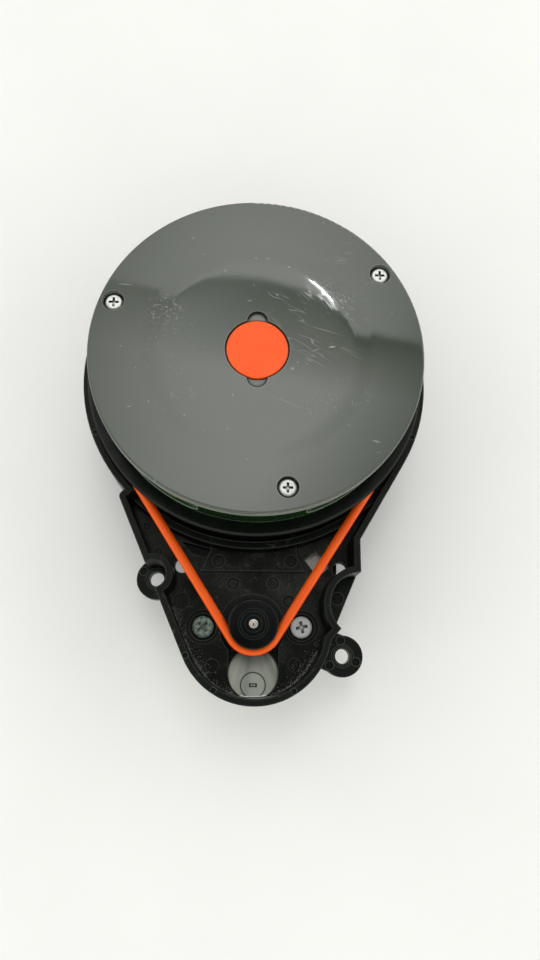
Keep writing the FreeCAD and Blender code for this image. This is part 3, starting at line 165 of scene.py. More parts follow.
def plan_distance(tree: Tree, place: Socket) -> Socket:
    """Distance in plan from the origin.

    Args:
        tree: the node tree.
        place: coordinates about that origin.

    Returns:
        The distance's socket.
    """
    flat = add(tree, "VectorMath", {0: place, 1: PLAN}, operation="MULTIPLY")
    return add(tree, "VectorMath", {0: flat}, operation="LENGTH").outputs["Value"]


class Lay(Enum):
    """How a tool or mould left the grain of a surface."""

    SPECKLED = "speckled"
    TURNED = "turned"


class Run(Enum):
    """How scratches run: straight, in arcs about the turret's axis, or in small curls."""

    STRAIGHT = "straight"
    ARCS = "arcs"
    CURLS = "curls"


@dataclass(frozen=True)
class Scratches:
    """One patch of hairline scratches.

    Attributes:
        centre: middle of the patch in plan, in mm.
        radius: its reach in mm.
        turn: direction of the scratches in degrees.
        length: how far one runs before it bends, in mm.
        gap: spacing across them in mm.
        strength: how pale they are, from 0 to 1.
        run: straight, in arcs or in curls.
        share: how much of each line is left after the breaks, from 0 to 1.
        width: width of a line as a share of the gap; real hairlines are finer and wouldn't show.
    """

    centre: tuple[float, float]
    radius: float
    turn: float
    length: float
    gap: float
    strength: float
    run: Run = Run.STRAIGHT
    share: float = 0.5
    width: float = 0.05

    def path(self, tree: Tree, where: Socket, local: Socket) -> Socket:
        """Coordinates that count scratch lengths along X and gaps along Y.

        Args:
            tree: the node tree.
            where: coordinates in metres.
            local: the same about the patch's middle, turned along the scratches.

        Returns:
            The stretched coordinates.
        """
        along, across = pitch(self.length), pitch(self.gap)
        if self.run is Run.CURLS:
            along = across
        if self.run is not Run.ARCS:
            return add(tree, "Mapping", {"Vector": local, "Scale": (along, across, 0.0)}).outputs[0]
        apart = add(tree, "SeparateXYZ", {0: where})
        angle = add(tree, "Math", {0: apart.outputs["Y"], 1: apart.outputs["X"]},
                    operation="ARCTAN2")
        reach = math.hypot(*self.centre) * MM
        round_it = add(tree, "Math", {0: angle, 1: reach * along}, operation="MULTIPLY")
        outward = add(tree, "Math", {0: plan_distance(tree, where), 1: across},
                      operation="MULTIPLY")
        return add(tree, "CombineXYZ", {"X": round_it, "Y": outward}).outputs[0]

    def mask(self, tree: Tree, where: Socket) -> Socket:
        """Thin contour lines of stretched noise, broken by a second noise and faded at the rim.

        Args:
            tree: the node tree.
            where: coordinates in metres.

        Returns:
            The scratches' strength at each point.
        """
        middle = (self.centre[0] * MM, self.centre[1] * MM, 0.0)
        local = add(tree, "Mapping", {"Vector": where, "Location": middle,
                                      "Rotation": (0.0, 0.0, math.radians(self.turn))},
                    vector_type="TEXTURE").outputs[0]
        noise = add(tree, "TexNoise", {"Vector": self.path(tree, where, local), "Scale": 1.0,
                                       "Detail": 1.0})
        off = add(tree, "Math", {0: noise.outputs["Fac"], 1: 0.5}, operation="SUBTRACT")
        away = add(tree, "Math", {0: off}, operation="ABSOLUTE")
        line = add(tree, "MapRange", {"Value": away, "From Min": self.width, "From Max": 0.0})
        breaks = add(tree, "TexNoise", {"Vector": local, "Detail": 1.5,
                                        "Scale": pitch(self.length * BREAK_LENGTH)})
        start = BREAK_START - BREAK_DROP * self.share
        kept = add(tree, "MapRange", {"Value": breaks.outputs["Fac"], "From Min": start,
                                      "From Max": start + BREAK_SOFT, "To Max": self.strength})
        fade = add(tree, "MapRange", {"Value": plan_distance(tree, local),
                                      "From Min": self.radius * MM,
                                      "From Max": self.radius * FULL_REACH * MM},
                   interpolation_type="SMOOTHSTEP")
        drawn = add(tree, "Math", {0: line, 1: kept}, operation="MULTIPLY")
        return add(tree, "Math", {0: drawn, 1: fade}, operation="MULTIPLY").outputs[0]


@dataclass(frozen=True)
class Nick:
    """One lone mark: a small soft ellipse.

    Attributes:
        centre: its place in plan, in mm.
        size: its length and width in mm.
        turn: direction of its length in degrees.
        strength: how pale it is, from 0 to 1.
    """

    centre: tuple[float, float]
    size: tuple[float, float]
    turn: float
    strength: float

    def mask(self, tree: Tree, where: Socket) -> Socket:
        """An ellipse that fades from its middle to its rim.

        Args:
            tree: the node tree.
            where: coordinates in metres.

        Returns:
            The mark's strength at each point.
        """
        middle = (self.centre[0] * MM, self.centre[1] * MM, 0.0)
        half = (self.size[0] * MM / 2, self.size[1] * MM / 2, 1.0)
        local = add(tree, "Mapping", {"Vector": where, "Location": middle, "Scale": half,
                                      "Rotation": (0.0, 0.0, math.radians(self.turn))},
                    vector_type="TEXTURE").outputs[0]
        return add(tree, "MapRange", {"Value": plan_distance(tree, local), "From Min": 1.0,
                                      "From Max": NICK_CORE, "To Max": self.strength}).outputs[0]


@dataclass(frozen=True)
class Dots:
    """Small round marks scattered over a surface.

    Attributes:
        gap: spacing in mm.
        size: radius in mm.
        share: how many of the places hold one, from 0 to 1.
        strength: how pale they are, from 0 to 1.
    """

    gap: float
    size: float
    share: float
    strength: float

    def mask(self, tree: Tree, where: Socket) -> Socket:
        """Spots at the middles of Voronoi cells, kept in a share of the cells.

        Args:
            tree: the node tree.
            where: coordinates in metres.

        Returns:
            The dots' strength at each point.
        """
        cells = add(tree, "TexVoronoi", {"Vector": where, "Scale": pitch(self.gap)})
        edge = self.size / self.gap
        dot = add(tree, "MapRange", {"Value": cells.outputs["Distance"], "From Min": edge,
                                     "From Max": edge * DOT_CORE, "To Max": self.strength})
        picked = add(tree, "SeparateColor", {0: cells.outputs["Color"]})
        few = add(tree, "Math", {0: picked, 1: 1.0 - self.share}, operation="GREATER_THAN")
        return add(tree, "Math", {0: dot, 1: few}, operation="MULTIPLY").outputs[0]


@dataclass(frozen=True)
class PaintedShading:
    """A painted shade that darkens hollow corners, or a painted highlight along outer edges.

    Attributes:
        colour: sRGB colour.
        reach: how far it spreads from the corner in mm; drawn coarse enough to show.
        share: how strong it is, from 0 to 1.
        outer: true for outer edges.
    """

    colour: str
    reach: float
    share: float
    outer: bool = False

    def share_at(self, tree: Tree) -> Socket:
        """How much of the painted shade or highlight shows: it grows where the surface's own near
        shape closes in.

        Args:
            tree: the node tree.

        Returns:
            The share's socket.
        """
        closeness = add(tree, "AmbientOcclusion", {"Distance": self.reach * MM}, inside=self.outer,
                        only_local=True, samples=12)
        amount = add(tree, "MapRange", {"Value": closeness.outputs["AO"], "From Min": CORNER_OPEN,
                                        "From Max": CORNER_SHUT, "To Max": self.share})
        return amount.outputs[0]


@dataclass(frozen=True)
class Dust:
    """Dust on the faces that look up: grit noise times drifting noise, kept where both peak.

    Attributes:
        colour: sRGB colour.
        share: how much it covers at most, from 0 to 1.
        low: height in mm below which there is none.
        top: height in mm above which it has been wiped off.
        grit: size of the grit in mm.
        drift: size of the drifts in mm.
    """

    colour: str
    share: float
    low: float = 16.5
    top: float = 17.8
    grit: float = 0.5
    drift: float = 7.0

    def share_at(self, tree: Tree, where: Socket) -> Socket:
        """How much of the dust shows.

        Args:
            tree: the node tree.
            where: coordinates in metres.

        Returns:
            The share's socket.
        """
        upward = add(tree, "SeparateXYZ", {0: add(tree, "NewGeometry", {}).outputs["Normal"]})
        level = add(tree, "MapRange", {"Value": upward.outputs["Z"], "From Min": DUST_STEEP,
                                       "From Max": DUST_LEVEL})
        grit = add(tree, "TexNoise", {"Vector": where, "Scale": pitch(self.grit), "Detail": 4.0,
                                      "Roughness": 0.75})
        drift = add(tree, "TexNoise", {"Vector": where, "Scale": pitch(self.drift), "Detail": 2.0})
        both = add(tree, "Math", {0: grit.outputs["Fac"], 1: drift.outputs["Fac"]},
                   operation="MULTIPLY")
        specks = add(tree, "MapRange", {"Value": both, "From Min": DUST_THIN,
                                        "From Max": DUST_THICK, "To Max": self.share})
        height = add(tree, "SeparateXYZ", {0: where}).outputs["Z"]
        half, middle = (self.top - self.low) / 2 * MM, (self.top + self.low) / 2 * MM
        unwiped = add(tree, "Math", {0: height, 1: middle, 2: half}, operation="COMPARE")
        settled = add(tree, "Math", {0: level, 1: unwiped}, operation="MULTIPLY")
        return add(tree, "Math", {0: specks, 1: settled}, operation="MULTIPLY").outputs[0]


@dataclass(frozen=True)
class Sunk:
    """The part of a piece below a level, where the mould was left matt.

    Attributes:
        level: height of the limit in mm.
        colour: sRGB colour below it.
        roughness: roughness below it.
    """

    level: float
    colour: str
    roughness: float

    def share(self, tree: Tree, where: Socket) -> Socket:
        """1 below the level and 0 above it.

        Args:
            tree: the node tree.
            where: coordinates in metres.

        Returns:
            The share's socket.
        """
        height = add(tree, "SeparateXYZ", {0: where}).outputs["Z"]
        return add(tree, "Math", {0: height, 1: self.level * MM}, operation="LESS_THAN").outputs[0]


@dataclass(frozen=True)
class Ease:
    """Where a shallow swell is polished nearly flat: its shading leans back towards level.

    Attributes:
        start: Y in mm where it begins.
        end: Y in mm where it is complete.
        rim: distance from the axis in mm beyond which it is complete all round.
        share: how far towards level, from 0 to 1.
    """

    start: float
    end: float
    rim: float
    share: float

    def normal(self, tree: Tree, where: Socket) -> Socket:
        """The surface's normal, turned towards straight up on nearly level faces only.

        Args:
            tree: the node tree.
            where: coordinates in metres.

        Returns:
            The eased normal.
        """
        true = add(tree, "NewGeometry", {}).outputs["Normal"]
        along = add(tree, "SeparateXYZ", {0: where}).outputs["Y"]
        behind = add(tree, "MapRange", {"Value": along, "From Min": self.start * MM,
                                        "From Max": self.end * MM, "To Max": self.share},
                     interpolation_type="SMOOTHSTEP")
        beyond = add(tree, "MapRange", {"Value": plan_distance(tree, where),
                                        "From Min": (self.rim - RIM_SOFT) * MM,
                                        "From Max": self.rim * MM, "To Max": self.share},
                     interpolation_type="SMOOTHSTEP")
        amount = add(tree, "Math", {0: behind, 1: beyond}, operation="MAXIMUM")
        upward = add(tree, "SeparateXYZ", {0: true}).outputs["Z"]
        level = add(tree, "Math", {0: upward, 1: NEARLY_LEVEL}, operation="GREATER_THAN")
        kept = add(tree, "Math", {0: amount, 1: level}, operation="MULTIPLY")
        lean = add(tree, "VectorMath", {0: (0.0, 0.0, 1.0), 1: true}, operation="SUBTRACT")
        part = add(tree, "VectorMath", {0: lean, "Scale": kept}, operation="SCALE")
        return add(tree, "VectorMath", {0: true, 1: part}, operation="ADD").outputs[0]


@dataclass(frozen=True)
class Finish:
    """What every finish has: a name, a main colour and a second one in soft clouds, and a gloss.

    Attributes:
        name: the material's name, after the real material.
        colour: main sRGB colour.
        shade: the colour that the clouds mix in; on a turned face, that of the painted fan of
            reflections.
        cloud: size of the clouds in mm.
        roughness: lowest and highest roughness.
        grain: size of the surface grain in mm.
        relief: height of that grain in mm.
        metallic: 1 for bare metal.
        ior: index of refraction, left at its default for metals.
        specular: how much of a smooth surface's mirror is left, where 0.5 is all of it.
        lay: direction of the grain.
        centre: where a turned grain has its axis, in metres.
        marks: patches of scratches, lone nicks and scattered dots.
        mark_colour: their sRGB colour.
        corners: painted shade in hollow corners and painted highlights along outer edges.
        dust: settled dust, or nothing.
        sunk: the matt part below a level, or nothing.
        ease: where a swell is polished nearly flat, or nothing.
        clear: how much light passes through, for glass.
    """

    name: str
    colour: str
    shade: str
    cloud: float = 9.0
    roughness: tuple[float, float] = (0.4, 0.5)
    grain: float = 0.35
    relief: float = 0.01
    metallic: float = 0.0
    ior: float = 1.5
    specular: float = 0.5
    lay: Lay = Lay.SPECKLED
    centre: Place = (0.0, 0.0, 0.0)
    marks: tuple[Scratches | Nick | Dots, ...] = ()
    mark_colour: str = "#C9CEC6"
    corners: tuple[PaintedShading, ...] = ()
    dust: Dust | None = None
    sunk: Sunk | None = None
    ease: Ease | None = None
    clear: float = 0.0

    def ring_place(self, tree: Tree, where: Socket) -> tuple[Socket, Socket]:
        """Distance from the turned grain's axis, and the direction there.

        Args:
            tree: the node tree.
            where: coordinates in metres.

        Returns:
            The distance's socket and the direction's socket, in radians.
        """
        local = add(tree, "VectorMath", {0: where, 1: self.centre}, operation="SUBTRACT")
        apart = add(tree, "SeparateXYZ", {0: local})
        angle = add(tree, "Math", {0: apart.outputs["Y"], 1: apart.outputs["X"]},
                    operation="ARCTAN2")
        return plan_distance(tree, local.outputs[0]), angle.outputs[0]

    def grain_height(self, tree: Tree, where: Socket) -> Socket:
        """The surface grain as a height from 0 to 1.

        Speckled grain is fine noise. Turned grain is noise read at the distance from the axis,
        so it runs in circles.

        Args:
            tree: the node tree.
            where: coordinates in metres.

        Returns:
            The height's socket.
        """
        place = where
        if self.lay is Lay.TURNED:
            place = add(tree, "CombineXYZ", {"X": self.ring_place(tree, where)[0]}).outputs[0]
        noise = add(tree, "TexNoise", {"Vector": place, "Scale": pitch(self.grain), "Detail": 2.0})
        return noise.outputs["Fac"]

    def clouds(self, tree: Tree, where: Socket) -> Socket:
        """How much of the second colour shows: soft clouds, or on a turned face a painted fan of
        sheen.

        Args:
            tree: the node tree.
            where: coordinates in metres.

        Returns:
            A share from 0 to 1.
        """
        place, scale = where, pitch(self.cloud)
        # On a turned face the second colour runs in a fan about the axis: a painted reflection.
        if self.lay is Lay.TURNED:
            place = add(tree, "CombineXYZ", {"X": self.ring_place(tree, where)[1]}).outputs[0]
            scale = SHEEN_FAN_STREAKS
        cloud = add(tree, "TexNoise", {"Vector": place, "Scale": scale, "Detail": 3.0})
        return add(tree, "MapRange", {"Value": cloud.outputs["Fac"], "From Min": CLOUD_THIN,
                                      "From Max": CLOUD_FULL}).outputs[0]

    def marked(self, tree: Tree, where: Socket) -> Socket | None:
        """All marks together.

        Args:
            tree: the node tree.
            where: coordinates in metres.

        Returns:
            Their strength from 0 to 1, or nothing on a surface without any.
        """
        joined = None
        for mark in self.marks:
            mask = mark.mask(tree, where)
            if joined is not None:
                mask = add(tree, "Math", {0: joined, 1: mask}, operation="MAXIMUM").outputs[0]
            joined = mask
        return joined

    def build(self) -> bpy.types.Material:
        """Makes the material: layers of colour, grain and gloss in one surface shader.

        Returns:
            The material.
        """
        material = bpy.data.materials.new(self.name)
        material.use_nodes = True
        tree = material.node_tree
        tree.nodes.clear()
        where = add(tree, "TexCoord", {}).outputs["Object"]
        layers = [(self.clouds(tree, where), self.shade)]
        smear = add(tree, "TexNoise", {"Vector": where, "Scale": pitch(self.cloud * SMEAR_SIZE),
                                       "Detail": 4.0})
        rough = add(tree, "MapRange", {"Value": smear.outputs["Fac"], "From Min": SMEAR_THIN,
                                       "From Max": SMEAR_FULL, "To Min": self.roughness[0],
                                       "To Max": self.roughness[1]}).outputs[0]
        if self.dust:
            layers.append((self.dust.share_at(tree, where), self.dust.colour))
        marks = self.marked(tree, where)
        if marks:
            layers.append((marks, self.mark_colour))
            rough = add(tree, "Math", {0: marks, 1: MARK_ROUGH, 2: rough},
                        operation="MULTIPLY_ADD").outputs[0]
        if self.sunk:
            low = self.sunk.share(tree, where)
            layers.append((low, self.sunk.colour))
            rough = add(tree, "MapRange", {"Value": low, "To Min": rough,
                                           "To Max": self.sunk.roughness}).outputs[0]
        # Painted shade in hollow corners and painted highlights along outer edges.
        layers += [(corner.share_at(tree), corner.colour) for corner in self.corners]
        colour = linear(self.colour)
        for share, code in layers:
            colour = add(tree, "Mix", {MIX_FACTOR: share, MIX_A: colour, MIX_B: linear(code)},
                         data_type="RGBA").outputs[MIX_RESULT]
        bump = add(tree, "Bump", {"Height": self.grain_height(tree, where),
                                  "Distance": self.relief * MM, "Strength": 1.0})
        if self.ease:
            tree.links.new(self.ease.normal(tree, where), bump.inputs["Normal"])
        shader = add(tree, "BsdfPrincipled", {"Base Color": colour, "Roughness": rough,
                                              "Metallic": self.metallic, "Normal": bump,
                                              "Specular IOR Level": self.specular})
        if not self.metallic:
            shader.inputs["IOR"].default_value = self.ior
        if self.clear:
            shader.inputs["Transmission Weight"].default_value = self.clear
        add(tree, "OutputMaterial", {"Surface": shader})
        return material


# Lone marks on the lid, as centre, size, turn and strength: streaks, fans, chips, long hairlines.
NICKS = tuple(Nick(*row) for row in (
    ((-30.4, 15.2), (4.56, 0.27), -3.0, 0.45), ((-15.2, 27.7), (1.0, 0.46), 45.0, 0.3),
    ((-12.5, 23.5), (0.82, 0.23), -35.0, 0.3), ((15.4, 32.8), (0.91, 0.27), 20.0, 0.25),
    ((16.9, 0.8), (2.05, 0.59), 8.0, 0.5), ((13.2, 0.0), (2.74, 0.27), 20.0, 0.3),
    ((7.9, -4.6), (1.09, 0.91), 0.0, 0.35), ((9.1, -3.1), (0.64, 0.46), 0.0, 0.3),
    ((-27.8, -14.4), (1.64, 0.27), 25.0, 0.35), ((-23.7, -13.2), (1.0, 0.36), 80.0, 0.3),
    ((-26.9, -5.3), (0.46, 0.46), 0.0, 0.3), ((-30.5, -0.1), (0.82, 0.36), 30.0, 0.25),
    ((-15.8, -16.2), (0.64, 0.46), 80.0, 0.3), ((-6.4, -19.1), (0.91, 0.27), 80.0, 0.3),
    ((-2.0, -26.0), (0.46, 0.46), 0.0, 0.25), ((-21.6, -31.1), (1.19, 0.36), 80.0, 0.4),
    ((26.2, -21.4), (2.28, 0.55), -15.0, 0.4), ((26.6, -23.9), (1.82, 0.23), 8.0, 0.25),
    ((-5.3, -11.2), (0.91, 0.36), 80.0, 0.3), ((24.6, -12.0), (0.64, 0.36), 0.0, 0.3),
    ((20.2, -17.8), (0.46, 0.46), 0.0, 0.25), ((-7.6, 19.3), (1.14, 0.73), -30.0, 0.25),
    ((-0.5, 22.8), (0.73, 0.55), -20.0, 0.25), ((2.4, 22.7), (1.37, 0.27), 0.0, 0.3),
    ((7.2, 20.7), (0.91, 0.55), -30.0, 0.3), ((-1.9, 11.9), (1.37, 0.55), 10.0, 0.25),
    ((-0.9, 15.9), (1.09, 0.27), -50.0, 0.3), ((4.4, 13.5), (1.19, 0.27), -50.0, 0.4),
    ((19.2, 12.5), (0.55, 0.46), 0.0, 0.7), ((19.5, 10.6), (0.64, 0.41), -60.0, 0.6),
    ((21.0, 13.1), (0.55, 0.41), 0.0, 0.5), ((30.9, 9.6), (0.46, 0.36), 0.0, 0.3),
    ((6.7, -12.7), (10.03, 0.16), -24.0, 0.2), ((15.2, 4.9), (10.03, 0.16), -17.0, 0.3),
    ((11.7, 2.9), (7.75, 0.16), -22.0, 0.28), ((-20.6, 8.6), (1.09, 0.36), 60.0, 0.3)))
# Acrylonitrile butadiene styrene, moulded on a polished tool: an even grey under a clear gloss,
# with faint hairlines, scuffs and dots. Notch floors and the outer side are matt.
LID = Finish(
    "gloss ABS lid", "#3F463E", "#434940", cloud=30.0, roughness=(0.03, 0.05), grain=3.0,
    relief=0.002, ior=1.55, mark_colour="#A9B0A7", sunk=Sunk(41.55, "#757B72", 0.5),
    ease=Ease(7.0, -6.0, 23.2, 0.8),
    # Painted shade in the screw wells, at the notches' upper edges and round the cap; painted
    # highlight along outer edges.
    corners=(PaintedShading("#090B09", 0.9, 0.95), PaintedShading("#9AA198", 0.25, 0.22, outer=True)),
    marks=(
        # The first five patches lie where the scratches glint in the small lamp, and are drawn pale
        # there: real scratches with a painted glint.
        Scratches((14.0, 5.0), 15.0, -27.0, 14.0, 1.7, 0.30, share=0.5, width=0.022),
        Scratches((9.0, 11.0), 13.0, -40.0, 9.0, 1.5, 0.26, share=0.4, width=0.025),
        Scratches((17.0, 14.0), 11.0, -58.0, 8.0, 1.2, 0.30, share=0.4, width=0.028),
        Scratches((20.0, 19.0), 11.0, 14.0, 9.0, 1.6, 0.22, share=0.3, width=0.025),
        Scratches((17.5, 16.5), 9.0, 0.0, 14.0, 0.9, 0.30, run=Run.ARCS, share=0.35, width=0.03),
        Scratches((-21.0, 9.0), 5.5, 0.0, 1.2, 1.2, 0.34, run=Run.CURLS, share=0.6, width=0.07),
        Scratches((-20.0, 3.0), 8.0, 20.0, 1.5, 1.5, 0.16, run=Run.CURLS, share=0.4, width=0.05),
        Scratches((-19.0, -7.0), 10.0, 68.0, 4.0, 1.8, 0.16, share=0.3, width=0.04),
        Scratches((19.0, -9.0), 9.0, 95.0, 4.0, 1.8, 0.16, share=0.3, width=0.04),
        Scratches((14.0, -13.0), 6.0, 15.0, 1.2, 1.4, 0.14, run=Run.CURLS, share=0.4, width=0.05),
        Dots(1.9, 0.13, 0.2, 0.3), Dots(1.1, 0.09, 0.12, 0.22), *NICKS))
# The same plastic in black with a green cast, as the turret's wall: it mirrors the studio, and a
# painted highlight lines its outer edges.
SHELL = Finish("gloss green-black ABS", "#12260E", "#163214", cloud=14.0, roughness=(0.06, 0.14),
               grain=1.5, relief=0.003, ior=1.55,
               corners=(PaintedShading("#A9B8A6", 0.35, 0.5, outer=True),))
# Black ABS of the wheel, moulded with a finer, duller skin, with a painted highlight along its
# outer edges.
WHEEL = Finish("satin black ABS", "#070C08", "#0B110B", cloud=9.0, roughness=(0.2, 0.34), grain=0.5,
               relief=0.006, specular=0.16, corners=(PaintedShading("#2A322A", 0.35, 0.4, outer=True),))
# Orange ABS, lightly textured: a satin skin.
CAP = Finish("orange satin ABS", "#FF5A14", "#FB5610", cloud=4.0, roughness=(0.45, 0.55),
             grain=0.25, relief=0.006, ior=1.42)
# Polyurethane round belt: satin, slightly waxy.
BELT = Finish("orange polyurethane", "#EC5A05", "#E65203", cloud=5.0, roughness=(0.32, 0.42),
              grain=0.3, relief=0.01, ior=1.45, specular=0.35)
# Black ABS from a spark-eroded tool: fine grain, painted shade in the corners, painted highlights
# along the edges, and grey dust where it lies level.
TRAY = Finish("moulded black ABS", "#0A0F0B", "#101510", cloud=8.0, roughness=(0.30, 0.44),
              grain=0.28, relief=0.010, specular=0.13, dust=Dust("#53534C", 0.5),
              mark_colour="#7A7D75",
              corners=(PaintedShading("#010201", 0.6, 0.95), PaintedShading("#4E544D", 0.28, 0.6, outer=True)),
              marks=(Scratches((-19.0, -60.0), 5.0, 0.0, 6.0, 0.9, 0.4, share=0.4),
                     Scratches((0.0, -55.0), 30.0, 40.0, 3.0, 2.4, 0.25, share=0.3),
                     Dots(2.3, 0.12, 0.12, 0.4)))
# Acetal, turned smooth: deep black with a wet gloss and a painted highlight along its rim.
PULLEY = Finish("black acetal", "#020403", "#040706", cloud=5.0, roughness=(0.1, 0.18), grain=0.4,
                relief=0.003, ior=1.48, specular=0.2, lay=Lay.TURNED, centre=MOTOR_AXIS,
                corners=(PaintedShading("#2E3530", 0.3, 0.5, outer=True),))
# Black polyamide inside the turret, straight from the mould.
INNER = Finish("black polyamide", "#18191A", "#1E1F20", cloud=5.0, roughness=(0.45, 0.6),
               grain=0.25, relief=0.012, ior=1.53)
# Nylon connector body, undyed and a little dirty.
IVORY = Finish("undyed nylon", "#FFF4EA", "#E2D4C8", cloud=1.6, roughness=(0.3, 0.4), grain=0.4,
               relief=0.01, ior=1.65, specular=0.9)
# Glass fibre board under green solder mask: a glossy, slightly uneven skin.
BOARD = Finish("green solder mask", "#14512C", "#0F4525", cloud=4.0, roughness=(0.25, 0.35),
               grain=0.9, relief=0.01, ior=1.55)
# Zinc-plated steel, bright: a soft mirror with a fine tumbled skin, and painted shade in the
# recess.
ZINC = Finish("bright zinc plate", "#E2E5E0", "#CFD3CD", cloud=0.8, roughness=(0.4, 0.55),
              grain=0.2, relief=0.006, metallic=1.0, corners=(PaintedShading("#20262A", 0.5, 0.9),))
# The same plating on the tail's screw, left matt: it looks white, so it is drawn as a non-metal,
# with painted shade in its recess.
MATT_ZINC = Finish("matt zinc plate", "#FFFFFF", "#F0F2EE", cloud=0.8, roughness=(0.5, 0.65),
                   grain=0.2, relief=0.006, corners=(PaintedShading("#171C1F", 0.5, 0.9),))
# The same plating gone dull: grey-green speckles, with painted shade in the recess.
DULL_ZINC = Finish("dulled zinc plate", "#B4C4B8", "#557061", cloud=0.45, roughness=(0.45, 0.7),
                   grain=0.18, relief=0.03, metallic=0.1, corners=(PaintedShading("#3A4A42", 0.4, 0.5),),
                   marks=(Dots(0.45, 0.12, 0.5, 0.8),), mark_colour="#E8F0EA")
# Deep-drawn nickelled steel of the motor's can, faced on a lathe: a painted fan of reflected
# streaks, and painted dark green shade round the pressed button.
CAN = Finish("nickelled steel", "#D0D2C7", "#989E94", roughness=(0.3, 0.42), grain=0.12,
             relief=0.002, metallic=1.0, lay=Lay.TURNED, centre=MOTOR_AXIS,
             corners=(PaintedShading("#1E3C2C", 0.5, 0.95),))
# Ground steel of shaft, bearing and clip: a soft mirror, with painted brown shade in its corners.
STEEL = Finish("ground steel", "#D2CCC4", "#B9B4AC", cloud=1.5, roughness=(0.2, 0.3), grain=0.3,
               relief=0.003, metallic=1.0, corners=(PaintedShading("#4A3020", 0.5, 0.9),))
# Turned brass, a little tarnished.
BRASS = Finish("turned brass", "#C9A55A", "#B08C45", cloud=1.5, roughness=(0.22, 0.35), grain=0.1,
               relief=0.004, metallic=1.0)
# Black anodised aluminium.
ANODISED = Finish("black anodised aluminium", "#2A2B2D", "#232426", cloud=2.0,
                  roughness=(0.35, 0.45), grain=0.1, relief=0.004, metallic=1.0)
# Optical glass with a faint blue-grey bloom.
GLASS = Finish("coated optical glass", "#D8E2E8", "#C8D4DE", cloud=2.0, roughness=(0.02, 0.05),
               grain=2.0, relief=0.001, ior=1.52, clear=0.9)
# Sintered ferrite: dark grey ceramic with open pores.
FERRITE = Finish("sintered ferrite", "#2B2B2C", "#363637", cloud=1.0, roughness=(0.55, 0.7),
                 grain=0.2, relief=0.02, ior=2.2)
# Enamelled copper wire, wound: turns lie side by side.
COPPER = Finish("enamelled copper", "#B4622E", "#9C5226", cloud=1.0, roughness=(0.25, 0.35),
                grain=0.3, relief=0.03, metallic=1.0, lay=Lay.TURNED)
# House dust: grey lint and grit, quite matt.
GRIT = Finish("house dust", "#9C9C95", "#6C6C65", cloud=0.6, roughness=(0.9, 1.0), grain=0.1,
              relief=0.02)
# Matt white paper under the object.
PAPER = Finish("white paper", "#F6F6F4", "#F4F4F2", cloud=40.0, roughness=(0.8, 0.9), grain=0.5,
               relief=0.002)


